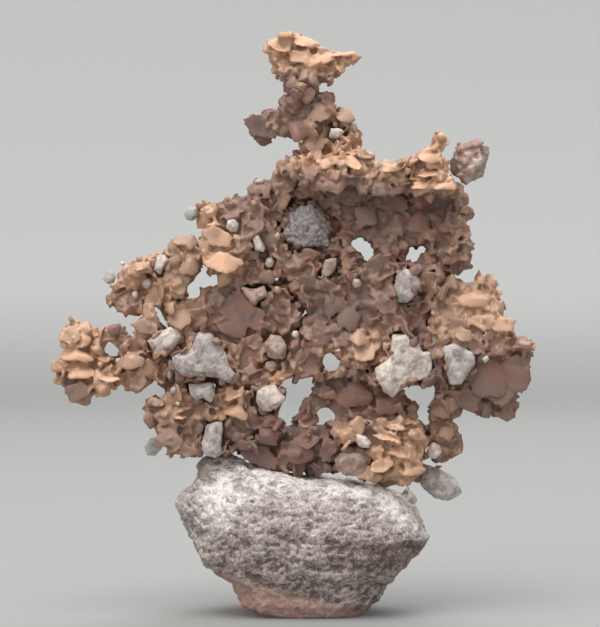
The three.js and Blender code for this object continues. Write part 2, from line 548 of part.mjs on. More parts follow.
// The body of the rock: a drum whose rows take the sections, roughened except on its cut.
function rockSolid() {
  const next = sequence(41);
  const rows = ROCK_SECTIONS.length - 1;
  const geometry = welded(new THREE.CylinderGeometry(1, 1, 1, ROCK_SIDES, rows));
  const at = geometry.attributes.position;
  for (let i = 0; i < at.count; i++) {
    const row = Math.round((at.getY(i) + 0.5) * rows);
    const [z, left, right, front, back] = ROCK_SECTIONS[row];
    const around = Math.atan2(at.getZ(i), at.getX(i));
    const reach = Math.hypot(at.getX(i), at.getZ(i));
    const blunt = (value) => Math.sign(value) * Math.abs(value) ** ROCK_SQUARENESS * reach;
    const wander = () => (row === 0 ? 0 : ROCK_ROUGHNESS * (next() - 0.5) * 2 * reach);
    const x = (left + right) / 2 + ((right - left) / 2) * blunt(Math.cos(around)) + wander();
    const y = (front + back) / 2 + ((back - front) / 2) * blunt(Math.sin(around)) + wander();
    at.setXYZ(i, x, y, row === 0 ? 0 : z + 0.4 * wander());
  }
  // the drum's own axis was Y: its rows now climb Z, which turns its faces inside out
  const index = geometry.index;
  for (let i = 0; i < index.count; i += 3) {
    const swap = index.getX(i + 1);
    index.setX(i + 1, index.getX(i + 2));
    index.setX(i + 2, swap);
  }
  return solid(geometry);
}

// A geometry scaled about its own middle so that every side stands off by about one clearance.
function roomRound(geometry) {
  geometry.computeBoundingBox();
  const middle = geometry.boundingBox.getCenter(new THREE.Vector3());
  const size = geometry.boundingBox.getSize(new THREE.Vector3());
  return geometry
    .clone()
    .translate(-middle.x, -middle.y, -middle.z)
    .scale(1 + (2 * CLEARANCE) / size.x, 1 + (2 * CLEARANCE) / size.y, 1 + (2 * CLEARANCE) / size.z)
    .translate(middle.x, middle.y, middle.z);
}

// The pocket behind a chip: its outline let out all round, open towards the showing face.
function pocket(outline, back) {
  const xs = outline.map(([x]) => x);
  const zs = outline.map(([, z]) => z);
  const [left, right] = [Math.min(...xs), Math.max(...xs)];
  const [low, high] = [Math.min(...zs), Math.max(...zs)];
  const [midX, midZ] = [(left + right) / 2, (low + high) / 2];
  const wider = 1 + (2 * POCKET_ROOM) / (right - left);
  const taller = 1 + (2 * POCKET_ROOM) / (high - low);
  const grown = outline.map(([x, z]) => [midX + (x - midX) * wider, midZ + (z - midZ) * taller]);
  return solid(prism(grown, back + CLEARANCE - THROUGH / 2, THROUGH));
}

// Six corners round a small crystal.
const hexagon = ([x, , z], [halfX, , halfZ]) =>
  [0, 1, 2, 3, 4, 5].map((k) => {
    const turn = (k * Math.PI) / 3;
    return [x + 1.15 * halfX * Math.cos(turn), z + 1.15 * halfZ * Math.sin(turn)];
  });

// A squat irregular crystal: an icosahedron with its corners pulled in and out.
function squatCrystal([x, y, z], [halfX, halfY, halfZ], next) {
  const geometry = welded(new THREE.IcosahedronGeometry(1, 0));
  const at = geometry.attributes.position;
  for (let i = 0; i < at.count; i++) {
    const pull = 0.85 + 0.25 * next();
    at.setXYZ(i, at.getX(i) * pull, at.getY(i) * pull, at.getZ(i) * pull);
  }
  return geometry.scale(halfX, halfY, halfZ).rotateY(next()).translate(x, y, z);
}

const specimen = new THREE.Group();

// Calcite, and matrix caught in the copper.
const nextChip = sequence(7);
const chips = [
  ...CHIPS.map(({ name, outline, front, back, bevel, finish }) => ({
    name,
    finish,
    geometry: prism(outline, (front + back) / 2, back - front, bevel),
    room: pocket(outline, back),
  })),
  ...CRYSTALS.map(([name, middle, half, finish]) => ({
    name,
    finish,
    geometry: squatCrystal(middle, half, nextChip),
    room: pocket(hexagon(middle, half), middle[1] + half[1]),
  })),
];

// Copper: all sheets and crystals joined, then its gaps, forks and pockets cut.
const nextCopper = sequence(19);
const grown = SHEETS.flatMap((sheet) => [
  sheetSolid(sheet),
  ...rimCrystals(sheet, nextCopper).map(solid),
  ...faceCrystals(sheet, nextCopper).map(solid),
]);
const rock = rockSolid();
let copper = join(grown);
for (const gap of GAPS) copper = copper.subtract(solid(prism(gap, 0, THROUGH)));
for (const fork of FORKS) copper = copper.subtract(kerf(fork, CLEARANCE));
for (const { room } of chips) copper = copper.subtract(room);
copper = copper.subtract(solid(roomRound(meshOf("room", rock, ROCK).geometry)));

const pieces = copper.decompose();
for (const [name, point, finish] of BRANCHES) {
  const probe = solid(new THREE.BoxGeometry(0.2, 0.2, 0.2).translate(...point));
  const piece = pieces.find((candidate) => candidate.intersect(probe).volume() > 0);
  if (!piece) throw new Error(`${name} has nothing at its point`);
  specimen.add(meshOf(name, piece, finish));
}

specimen.add(meshOf("matrix_rock", rock, ROCK));
for (const { name, geometry, finish } of chips) specimen.add(meshOf(name, solid(geometry), finish));

export default specimen;
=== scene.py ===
"""Crystallised native copper on its matrix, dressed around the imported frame.

Everything is in metres in the frame's own axes: +Z up, the showing face towards -Y. Each copper branch is
a rough core grown over with small metal crystals, the calcite chips are cleaved lumps, and the rock is
granular.
"""

from __future__ import annotations

import logging
import math
from collections.abc import Iterable, Sequence
from dataclasses import dataclass
from enum import Enum
from typing import Any

import bmesh
import bpy
import numpy as np
from mathutils import Matrix, Vector, noise
from mathutils.bvhtree import BVHTree
from mathutils.kdtree import KDTree


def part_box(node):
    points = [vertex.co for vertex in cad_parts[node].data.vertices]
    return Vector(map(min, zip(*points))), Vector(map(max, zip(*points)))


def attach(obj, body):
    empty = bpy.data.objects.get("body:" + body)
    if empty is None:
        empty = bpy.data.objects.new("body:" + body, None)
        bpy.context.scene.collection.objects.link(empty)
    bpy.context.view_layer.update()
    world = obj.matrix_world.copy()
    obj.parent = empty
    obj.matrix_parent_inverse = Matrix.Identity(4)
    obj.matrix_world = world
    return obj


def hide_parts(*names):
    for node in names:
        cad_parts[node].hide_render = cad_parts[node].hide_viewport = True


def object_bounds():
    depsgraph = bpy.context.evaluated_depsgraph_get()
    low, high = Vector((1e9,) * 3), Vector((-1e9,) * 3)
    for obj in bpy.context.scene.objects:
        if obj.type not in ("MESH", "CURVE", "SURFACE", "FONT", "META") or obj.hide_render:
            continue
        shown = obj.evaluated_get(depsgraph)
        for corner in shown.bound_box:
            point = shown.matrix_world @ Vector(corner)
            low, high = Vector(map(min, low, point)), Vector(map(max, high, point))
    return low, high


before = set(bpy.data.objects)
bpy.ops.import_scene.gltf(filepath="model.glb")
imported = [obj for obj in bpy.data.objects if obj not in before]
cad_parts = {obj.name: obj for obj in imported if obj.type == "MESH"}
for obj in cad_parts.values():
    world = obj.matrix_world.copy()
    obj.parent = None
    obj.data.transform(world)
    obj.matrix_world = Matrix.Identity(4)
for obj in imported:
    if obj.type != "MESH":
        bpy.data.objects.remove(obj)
CAD_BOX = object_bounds()

LOG = logging.getLogger("specimen")
MM = 0.001
BODY = "root"
FRONT = Vector((0.0, -1.0, 0.0))
TONE = "tone"  # mesh attribute: 0 is dark tarnish and painted shade, 1 is bright golden copper and painted light
LIFT = "lift"  # mesh attribute: 0 is the bottom of a hollow, 1 is a crystal's outermost corner


def srgb(code: str) -> tuple[float, float, float, float]:
    """Turns a colour as it is written on screen into the shader's linear values.

    Args:
        code: Six hexadecimal digits.

    Returns:
        Red, green, blue and alpha from 0 to 1.
    """
    parts = [int(code[i : i + 2], 16) / 255 for i in (0, 2, 4)]
    red, green, blue = [p / 12.92 if p <= 0.04045 else ((p + 0.055) / 1.055) ** 2.4 for p in parts]
    return red, green, blue, 1.0


# --------------------------------------------------------------------------------------------------
# Shader building


class Value:
    """A number socket of a node tree, on which plain arithmetic adds Math nodes."""

    def __init__(self, tree: Tree, socket: bpy.types.NodeSocket) -> None:
        """Wraps one output socket of a tree."""
        self.tree = tree
        self.socket = socket

    def _math(self, operation: str, first: Any, second: Any) -> Value:
        """Adds one Math node on two values."""
        return self.tree.add("ShaderNodeMath", {"operation": operation}, {0: first, 1: second})

    def __add__(self, other: Any) -> Value:
        """self + other."""
        return self._math("ADD", self, other)

    __radd__ = __add__

    def __sub__(self, other: Any) -> Value:
        """self - other."""
        return self._math("SUBTRACT", self, other)

    def __rsub__(self, other: Any) -> Value:
        """other - self."""
        return self._math("SUBTRACT", other, self)

    def __mul__(self, other: Any) -> Value:
        """self * other."""
        return self._math("MULTIPLY", self, other)

    __rmul__ = __mul__

    def between(self, low: float, high: float) -> Value:
        """Rises smoothly from 0 at low to 1 at high, or falls where low is above high.

        Args:
            low: The value that gives 0.
            high: The value that gives 1.

        Returns:
            The value between 0 and 1.
        """
        smooth = {"interpolation_type": "SMOOTHSTEP"}
        sockets = {"Value": self, "From Min": low, "From Max": high}
        return self.tree.add("ShaderNodeMapRange", smooth, sockets)

    def clamped(self) -> Value:
        """Held between 0 and 1."""
        return self.tree.add("ShaderNodeClamp", {}, {"Value": self})


class Tree:
    """One material's node tree, with its Principled surface."""

    def __init__(self, name: str) -> None:
        """Makes an empty material of that name.

        Args:
            name: The material's name.
        """
        self.material = bpy.data.materials.new(name)
        self.material.use_nodes = True
        self.nodes = self.material.node_tree.nodes
        self.links = self.material.node_tree.links
        self.nodes.clear()

    def add(self, kind: str, settings: dict[str, Any], sockets: dict[Any, Any], out: Any = 0) -> Value:
        """Adds a node.

        Args:
            kind: The node's type.
            settings: Properties set before the sockets; "stops" gives a ramp's colours by position.
            sockets: Each input's value or link, by name or number.
            out: The output wanted, by name or number.

        Returns:
            That output.
        """
        node = self.nodes.new(kind)
        for key, setting in settings.items():
            if key == "stops":
                self._set_stops(node.color_ramp, setting)
            else:
                setattr(node, key, setting)
        for key, value in sockets.items():
            if isinstance(value, Value):
                self.links.new(value.socket, node.inputs[key])
            else:
                node.inputs[key].default_value = value
        return Value(self, node.outputs[out])

    @staticmethod
    def _set_stops(ramp: bpy.types.ColorRamp, stops: dict[float, Sequence[float]]) -> None:
        """Gives a ramp exactly these colours.

        Args:
            ramp: The ramp.
            stops: Its colours by position, from 0 to 1.
        """
        while len(ramp.elements) > 1:
            ramp.elements.remove(ramp.elements[-1])
        for index, (place, colour) in enumerate(sorted(stops.items())):
            element = ramp.elements[0] if index == 0 else ramp.elements.new(place)
            element.position = place
            element.color = colour

    def attribute(self, name: str) -> Value:
        """A number kept on the mesh."""
        return self.add("ShaderNodeAttribute", {"attribute_name": name}, {}, "Fac")

    def place(self) -> Value:
        """The point's place in the frame's axes, in metres."""
        return self.add("ShaderNodeTexCoord", {}, {}, "Object")

    def separate(self, vector: Value, axis: str) -> Value:
        """One axis of a vector."""
        return self.add("ShaderNodeSeparateXYZ", {}, {0: vector}, axis)

    def facing(self, axis: str) -> Value:
        """How far the surface faces along an axis, from -1 to 1."""
        return self.separate(self.add("ShaderNodeNewGeometry", {}, {}, "Normal"), axis)

    def cloud(self, size: float, detail: float = 3.0, rough: float = 0.55, warp: float = 0.0) -> Value:
        """Soft noise from 0 to 1.

        Args:
            size: Length of its lumps in metres.
            detail: Octaves.
            rough: Share of each finer octave.
            warp: Distortion.

        Returns:
            The noise.
        """
        sockets = {"Vector": self.place(), "Scale": 1 / size, "Detail": detail, "Roughness": rough}
        return self.add("ShaderNodeTexNoise", {}, {**sockets, "Distortion": warp})

    def ramp(self, value: Value, stops: dict[float, Sequence[float]]) -> Value:
        """A colour for each value."""
        return self.add("ShaderNodeValToRGB", {"stops": stops}, {"Fac": value})

    def mix(self, factor: Any, first: Any, second: Any) -> Value:
        """Mixes two colours."""
        return self.add("ShaderNodeMix", {"data_type": "RGBA"}, {0: factor, 6: first, 7: second}, 2)

    def bump(self, height: Value, depth: float, strength: float = 1.0) -> Value:
        """A normal roughened by a height, whose full range is depth metres."""
        sockets = {"Height": height, "Distance": depth, "Strength": strength}
        return self.add("ShaderNodeBump", {}, sockets, "Normal")

    def finish(self, sockets: dict[str, Any]) -> bpy.types.Material:
        """Ends the tree in a Principled surface with these sockets.

        Args:
            sockets: Each input's value or link, by name.

        Returns:
            The finished material.
        """
        surface = self.add("ShaderNodeBsdfPrincipled", {}, sockets)
        output = self.nodes.new("ShaderNodeOutputMaterial")
        self.links.new(surface.socket, output.inputs["Surface"])
        return self.material


# --------------------------------------------------------------------------------------------------
# Finishes


class Finish:
    """How a material looks. Each finish makes its material once."""

    slot: str

    def material(self) -> bpy.types.Material:
        """The finish's material."""
        raise NotImplementedError

    def dress(self, piece: bpy.types.Object) -> None:
        """Gives a piece this finish.

        Args:
            piece: The piece.
        """
        piece.data.materials.clear()
        piece.data.materials.append(self.material())


@dataclass(frozen=True)
class CopperFinish(Finish):
    """Native copper: golden where it is worn bright and where light is painted on, brown to purple-brown
    where it is tarnished and where shade is painted on.
    """

    slot: str
    deep: str = "775f58"
    purple: str = "856b60"
    brown: str = "a2826e"
    tan: str = "b89379"
    gold: str = "c99e81"
    red: str = "92604f"
    # painted shade, with some tarnish, that darkens the hollows
    shadow: str = "5c463d"
    speck: float = 0.35 * MM  # size of the finest mottling
    blushed: float = 0.55  # how strongly red tarnish tints the dark crystals
    hollowed: float = 0.3  # how strongly painted shade and tarnish darken the hollows

    def material(self) -> bpy.types.Material:
        """Colour from the crystal's tone, with painted shade and tarnish in the hollows, glossier on the
        bright crystals.

        Returns:
            The material.
        """
        name = f"{self.slot}_crystals"
        if name in bpy.data.materials:
            return bpy.data.materials[name]
        tree = Tree(name)
        mottle = tree.cloud(self.speck * 2, detail=4.0) - 0.5
        drift = tree.cloud(self.speck * 9, detail=2.0) - 0.5
        tone = tree.attribute(TONE) + mottle * 0.3 + drift * 0.2
        stops = {0.0: self.deep, 0.25: self.purple, 0.5: self.brown, 0.74: self.tan, 1.0: self.gold}
        colour = tree.ramp(tone.clamped(), {place: srgb(code) for place, code in stops.items()})
        blush = tree.cloud(self.speck * 6, detail=3.0, warp=1.0).between(0.48, 0.66)
        tint = self.blushed * blush * tone.between(0.75, 0.35)
        colour = tree.mix(tint, colour, srgb(self.red))
        # painted shade and tarnish darken the hollows
        hollow = tree.attribute(LIFT).between(0.05, 0.5)
        shaded = tree.mix(self.hollowed * (1 - hollow), colour, srgb(self.shadow))
        bright = tone.between(0.35, 0.95)
        rough = 0.56 - 0.1 * bright + 0.25 * mottle
        return tree.finish(
            {
                "Base Color": shaded,
                "Metallic": 0.05 + 0.2 * bright,
                "Roughness": rough.clamped(),
                "Normal": tree.bump(tree.cloud(self.speck, detail=3.0), 0.04 * MM, 0.5),
            }
        )


@dataclass(frozen=True)
class CalciteFinish(Finish):
    """Calcite: cloudy and translucent, with dirt stains, and darker in its hollows."""

    slot: str
    name: str
    pale: str
    shade: str
    # colour of the dirt stains and of the darker hollows
    dirt_and_hollows: str = "8d7a70"
    clear: float = 0.0  # share of light that passes straight through

    def material(self) -> bpy.types.Material:
        """Clouded colour over a translucent body, with a fine cleaved grain.

        Returns:
            The material.
        """
        if self.name in bpy.data.materials:
            return bpy.data.materials[self.name]
        tree = Tree(self.name)
        cloud = tree.cloud(1.0 * MM, detail=5.0, rough=0.65, warp=0.6)
        fine = tree.cloud(0.25 * MM, detail=4.0, rough=0.6)
        body = tree.mix(cloud.between(0.36, 0.6), srgb(self.shade), srgb(self.pale))
        tinted = tree.cloud(1.7 * MM, detail=4.0, warp=1.2).between(0.52, 0.72)
        dusted = tree.mix((fine.between(0.52, 0.8) * 0.45 + tinted * 0.4).clamped(), body, srgb(self.dirt_and_hollows))
        # the hollows take on the same dark colour, more the deeper they lie
        hollow = tree.attribute(LIFT).between(0.0, 0.5)
        return tree.finish(
            {
                "Base Color": tree.mix(0.6 * (1 - hollow), dusted, srgb(self.dirt_and_hollows)),
                "Roughness": (0.38 + 0.35 * fine).clamped(),
                "IOR": 1.6,
                "Transmission Weight": self.clear,
                "Subsurface Weight": 0.25,
                "Subsurface Radius": (1.0, 0.85, 0.75),
                "Subsurface Scale": 0.5 * MM,
                "Normal": tree.bump(fine, 0.06 * MM, 0.6),
            }
        )


@dataclass(frozen=True)
class RockFinish(Finish):
    """Granular grey matrix: white dust and painted light on its upper faces, and a smoother reddish foot.
    """

    slot: str
    name: str
    dark: str = "6b5c57"
    brown: str = "93837d"
    grey: str = "b5a9a3"
    pale: str = "d0c7c2"
    dust: str = "f6f0ea"
    foot: str = "c39c90"
    foot_top: float = 4.2 * MM  # where the foot's reddish band ends
    foot_slope: float = 0.27  # how fast the stain's top falls towards +X
    foot_drop: float = 2 * MM  # how far it lies lower at the rock's middle

    def material(self) -> bpy.types.Material:
        """Grains and pits by the mesh's tone and relief, lighter on faces turned up with dust and painted
        light, darker in the hollows, and a smoother reddish foot.

        Returns:
            The material.
        """
        if self.name in bpy.data.materials:
            return bpy.data.materials[self.name]
        tree = Tree(self.name)
        height = tree.separate(tree.place(), "Z")
        lumps = tree.cloud(1.3 * MM, detail=6.0, rough=0.7, warp=0.5)
        grit = tree.cloud(0.28 * MM, detail=4.0, rough=0.7)
        streaks = tree.cloud(0.7 * MM, detail=4.0, rough=0.6, warp=2.5)
        hollow = tree.attribute(LIFT).between(0.1, 0.6)
        up = tree.facing("Z")
        mottle = (lumps - 0.5) * 0.9 + (grit - 0.5) * 1.3 + (streaks - 0.5) * 1.2
        # faces turned up are lighter, for white dust and painted light; the hollows are darker
        tone = tree.attribute(TONE) + mottle + up * 0.1 + (hollow - 0.7) * 0.3
        stops = {0.0: self.dark, 0.25: self.brown, 0.5: self.grey, 0.75: self.pale, 1.0: self.dust}
        body = tree.ramp(tone.clamped(), {place: srgb(code) for place, code in stops.items()})
        slant = height + self.foot_slope * tree.separate(tree.place(), "X") + self.foot_drop
        # a reddish band towards the bottom, its top falling towards +X
        tinted = (slant + (lumps - 0.5) * 3.5 * MM).between(self.foot_top * 1.2, self.foot_top * 0.8)
        footed = tree.mix(0.75 * tinted, body, srgb(self.foot))
        return tree.finish(
            {
                "Base Color": footed,
                "Roughness": 0.9,
                "Normal": tree.bump(grit * 0.8 + streaks * 0.5, 0.25 * MM, 1.0),
            }
        )


@dataclass(frozen=True)
class PaperFinish(Finish):
    """The plain pale paper that the specimen stands on."""

    slot: str = "paper"
    colour: str = "929290"
    glow: str = "858585"  # painted light: the paper glows where it rises
    graded: float = 0.045  # height at which the whole glow is reached

    def material(self) -> bpy.types.Material:
        """Matt paper with painted light: it glows where it rises, so that it looks even under light from
        above.

        Returns:
            The material.
        """
        tree = Tree("paper")
        rise = tree.separate(tree.place(), "Z").between(-0.3 * self.graded, self.graded)
        # painted light, growing as the paper rises
        glow = tree.mix(rise, srgb("000000"), srgb(self.glow))
        lit = {"Emission Color": glow, "Emission Strength": 1.0}
        return tree.finish({"Base Color": srgb(self.colour), "Roughness": 0.95, **lit})


# --------------------------------------------------------------------------------------------------
# Geometry


@dataclass
class Parts:
    """Loose geometry on its way to one mesh: corners, triangles, and a tone and a lift at each corner."""

    corners: np.ndarray
    triangles: np.ndarray
    tone: np.ndarray
    lift: np.ndarray

    @staticmethod
    def joined(several: Iterable[Parts]) -> Parts:
        """All of several parts as one.

        Args:
            several: The parts. Empty ones are left out.

        Returns:
            The parts as one.
        """
        kept = [parts for parts in several if len(parts.corners)]
        starts = np.cumsum([0] + [len(parts.corners) for parts in kept])
        return Parts(
            np.concatenate([parts.corners for parts in kept]),
            np.concatenate([parts.triangles + start for parts, start in zip(kept, starts)]),
            np.concatenate([parts.tone for parts in kept]),
            np.concatenate([parts.lift for parts in kept]),
        )

    def to_object(self, name: str, smooth: bool = False) -> bpy.types.Object:
        """Makes the mesh.

        Args:
            name: The piece's name.
            smooth: Whether its faces are shaded as one soft surface.

        Returns:
            The new object, linked to the scene.
        """
        mesh = mesh_of(name, self.corners, self.triangles)
        mesh.polygons.foreach_set("use_smooth", np.full(len(self.triangles), smooth))
        for label, values in ((TONE, self.tone), (LIFT, self.lift)):
            layer = mesh.attributes.new(label, "FLOAT", "POINT")
            layer.data.foreach_set("value", values.astype(np.float32))
        piece = bpy.data.objects.new(name, mesh)
        bpy.context.scene.collection.objects.link(piece)
        return piece


def node_arrays(node: str) -> tuple[np.ndarray, np.ndarray]:
    """Reads a CAD node's mesh.

    Args:
        node: Its name.

    Returns:
        Its corners, and its triangles as corner numbers.
    """
    return mesh_arrays(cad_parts[node].data)


def mesh_arrays(mesh: bpy.types.Mesh) -> tuple[np.ndarray, np.ndarray]:
    """A mesh's corners, and its triangles as corner numbers.

    Args:
        mesh: The mesh.

    Returns:
        Corners and triangles.
    """
    mesh.calc_loop_triangles()
    corners = np.empty(3 * len(mesh.vertices), np.float32)
    mesh.vertices.foreach_get("co", corners)
    triangles = np.empty(3 * len(mesh.loop_triangles), np.int32)
    mesh.loop_triangles.foreach_get("vertices", triangles)
    return corners.reshape(-1, 3).astype(float), triangles.reshape(-1, 3)


def surface_normals(corners: np.ndarray, triangles: np.ndarray) -> np.ndarray:
    """The unit normal of a surface at each of its corners.

    Args:
        corners: The surface's corners.
        triangles: Its triangles.

    Returns:
        One unit vector for each corner.
    """
    first, second, third = (corners[triangles[:, i]] for i in range(3))
    faces = np.cross(second - first, third - first)
    total = np.zeros_like(corners)
    for i in range(3):
        np.add.at(total, triangles[:, i], faces)
    return units(total)


def mesh_of(name: str, corners: np.ndarray, triangles: np.ndarray) -> bpy.types.Mesh:
    """Makes a mesh of corners and triangles.

    Args:
        name: The mesh's name.
        corners: Corners in metres.
        triangles: Corner numbers, three to a row.

    Returns:
        The mesh.
    """
    mesh = bpy.data.meshes.new(name)
    count = len(triangles)
    mesh.vertices.add(len(corners))
    mesh.vertices.foreach_set("co", corners.astype(np.float32).ravel())
    mesh.loops.add(3 * count)
    mesh.loops.foreach_set("vertex_index", triangles.astype(np.int32).ravel())
    mesh.polygons.add(count)
    mesh.polygons.foreach_set("loop_start", np.arange(0, 3 * count, 3, dtype=np.int32))
    mesh.update(calc_edges=True)
    return mesh


def fine_skin(
    corners: np.ndarray, triangles: np.ndarray, voxel: float, keep: float = 1.0
) -> tuple[np.ndarray, np.ndarray]:
    """Covers closed shapes, which may overlap, with one even fine mesh.

    Args:
        corners: The shapes' corners.
        triangles: Their triangles.
        voxel: Length of the new faces.
        keep: Share of the new faces that is kept, most where the surface bends.

    Returns:
        Corners and triangles.
    """
    mesh = mesh_of("skin", corners, triangles)
    holder = bpy.data.objects.new("skin", mesh)
    bpy.context.scene.collection.objects.link(holder)
    remesh = holder.modifiers.new("skin", "REMESH")
    remesh.mode = "VOXEL"
    remesh.voxel_size = voxel
    if keep < 1.0:
        holder.modifiers.new("thin", "DECIMATE").ratio = keep
    graph = bpy.context.evaluated_depsgraph_get()
    corners, triangles = mesh_arrays(holder.evaluated_get(graph).data)
    bpy.data.objects.remove(holder)
    bpy.data.meshes.remove(mesh)
    return corners, triangles


def main_body(
    corners: np.ndarray, triangles: np.ndarray, least: float = 0.04
) -> tuple[np.ndarray, np.ndarray]:
    """Leaves out loose crumbs and closed hollows, which hold only a small share of the faces.

    Args:
        corners: A mesh's corners.
        triangles: Its triangles.
        least: The smallest share of the faces that a loose part may hold and be kept.

    Returns:
        Corners and triangles.
    """
    label = np.arange(len(corners))
    ends = np.concatenate([triangles[:, [0, 1]], triangles[:, [1, 2]]])
    settled = False
    while not settled:
        before = label.copy()
        lowest = np.minimum(label[ends[:, 0]], label[ends[:, 1]])
        np.minimum.at(label, ends[:, 0], lowest)
        np.minimum.at(label, ends[:, 1], lowest)
        label = label[label]
        settled = np.array_equal(label, before)
    _, part, faces = np.unique(label[triangles[:, 0]], return_inverse=True, return_counts=True)
    triangles = triangles[faces[part] > least * len(triangles)]
    used, renumbered = np.unique(triangles, return_inverse=True)
    return corners[used], renumbered.reshape(-1, 3)


def relief(corners: np.ndarray, triangles: np.ndarray, reach: float, rounds: int = 10) -> np.ndarray:
    """How far each corner stands out of its surroundings.

    Args:
        corners: The surface's corners.
        triangles: Its triangles.
        reach: The height that counts as fully raised, in metres.
        rounds: How often the surface is smoothed to find its surroundings.

    Returns:
        0 in a hollow, 0.5 on flat ground and 1 on a crest.
    """
    pairs = np.concatenate([triangles[:, [0, 1]], triangles[:, [1, 2]], triangles[:, [2, 0]]])
    start, end = pairs[:, 0], pairs[:, 1]
    count = len(corners)
    links = np.maximum(np.bincount(start, minlength=count), 1)[:, None]
    soft = corners
    for _ in range(rounds):
        near = [np.bincount(start, weights=axis, minlength=count) for axis in soft[end].T]
        soft = np.stack(near, 1) / links
    out = ((corners - soft) * surface_normals(corners, triangles)).sum(1)
    return np.clip(0.5 + 0.5 * out / reach, 0, 1)


def crystal_relief(corners: np.ndarray, triangles: np.ndarray) -> np.ndarray:
    """How far each corner stands out at the scale of the copper's crystals."""
    return relief(corners, triangles, 0.12 * MM, 8)


def node_shape(node: str) -> bmesh.types.BMesh:
    """A copy of a CAD node's shape, with its split corners closed.

    Args:
        node: The CAD node.

    Returns:
        The shape, which the caller uses up.
    """
    shape = bmesh.new()
    shape.from_mesh(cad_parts[node].data)
    bmesh.ops.remove_doubles(shape, verts=shape.verts, dist=0.002 * MM)
    return shape


def shape_arrays(shape: bmesh.types.BMesh) -> tuple[np.ndarray, np.ndarray]:
    """The corners and triangles of a shape, which is used up.

    Args:
        shape: The shape.

    Returns:
        Corners and triangles.
    """
    bmesh.ops.triangulate(shape, faces=shape.faces)
    shape.verts.index_update()
    corners = np.array([vert.co for vert in shape.verts])
    triangles = np.array([[vert.index for vert in face.verts] for face in shape.faces])
    shape.free()
    return corners, triangles


def noise_at(points: np.ndarray, size: float, octaves: int = 1, offset: float = 0.0) -> np.ndarray:
    """Soft noise from about -1 to 1 at each point.

    Args:
        points: Places in metres.
        size: Length of the noise's lumps in metres.
        octaves: How many finer noises are added, each half the size and half as strong.
        offset: Moves the noise, so that two calls differ.

    Returns:
        One value for each point.
    """
    scaled = points / size + offset
    if octaves == 1:
        return np.array([noise.noise(place) for place in scaled])
    return np.array([noise.fractal(place, 1.0, 2.0, octaves) for place in scaled])


def seed_of(name: str, first: int) -> int:
    """A seed for random numbers, from a name's letters weighted from first upwards."""
    return sum(ord(letter) * (first + i) for i, letter in enumerate(name))


def spaced(points: np.ndarray, spacing: float) -> np.ndarray:
    """Thins points so that no two are nearer than a spacing.

    Args:
        points: Candidates, in order of preference.
        spacing: The least distance.

    Returns:
        The numbers of those kept.
    """
    cells: dict[tuple[int, int, int], list[int]] = {}
    kept = []
    near = [(i, j, k) for i in (-1, 0, 1) for j in (-1, 0, 1) for k in (-1, 0, 1)]
    for number, point in enumerate(points):
        a, b, c = (int(v) for v in np.floor(point / spacing))
        close = (other for i, j, k in near for other in cells.get((a + i, b + j, c + k), ()))
        if any(((points[other] - point) ** 2).sum() < spacing**2 for other in close):
            continue
        cells.setdefault((a, b, c), []).append(number)
        kept.append(number)
    return np.array(kept, int)


class Habit(Enum):
    """How a copper crystal grows."""

    LEAF = "leaf"
    BLOCK = "block"
    SPINEL = "spinel"
    PLATE = "plate"
    BAR = "bar"


def leaf_shape(rng: np.random.Generator, count: int = 14) -> tuple[np.ndarray, np.ndarray]:
    """A folded leaf about one unit in half size, scalloped round its thin edge.

    Args:
        rng: Random numbers.
        count: Corners round its edge.

    Returns:
        Corners and triangles.
    """
    turns = np.arange(count) * 2 * math.pi / count
    waves = rng.integers(3, 6)
    reach = 1 + 0.13 * np.sin(waves * turns + rng.uniform(0, 6.3)) + rng.uniform(-0.07, 0.07, count)
    ring = np.stack([np.cos(turns) * reach, np.sin(turns) * reach], 1)
    thick = rng.uniform(0.2, 0.32)
    profile = ((0.0, 1.0), (0.6, 0.9), (1.0, 0.25), (1.0, -0.25), (0.6, -0.9), (0.0, -1.0))
    rows = [np.column_stack([ring * wide, np.full(count, high * thick)]) for wide, high in profile]
    corners = np.concatenate(rows)
    fold, bend, wave = rng.uniform(-0.6, 0.6), rng.uniform(-0.35, 0.35), rng.uniform(0.0, 0.15)
    x, y = corners[:, 0], corners[:, 1]
    corners[:, 2] += fold * (np.abs(x) - 0.45) + bend * (y * y - 0.3) + wave * np.sin(4 * y + 2 * x)
    triangles = []
    for row in range(len(rows) - 1):
        for i in range(count):
            a, b = row * count + i, row * count + (i + 1) % count
            triangles += [(a, a + count, b), (b, a + count, b + count)]
    return corners, np.array(triangles)


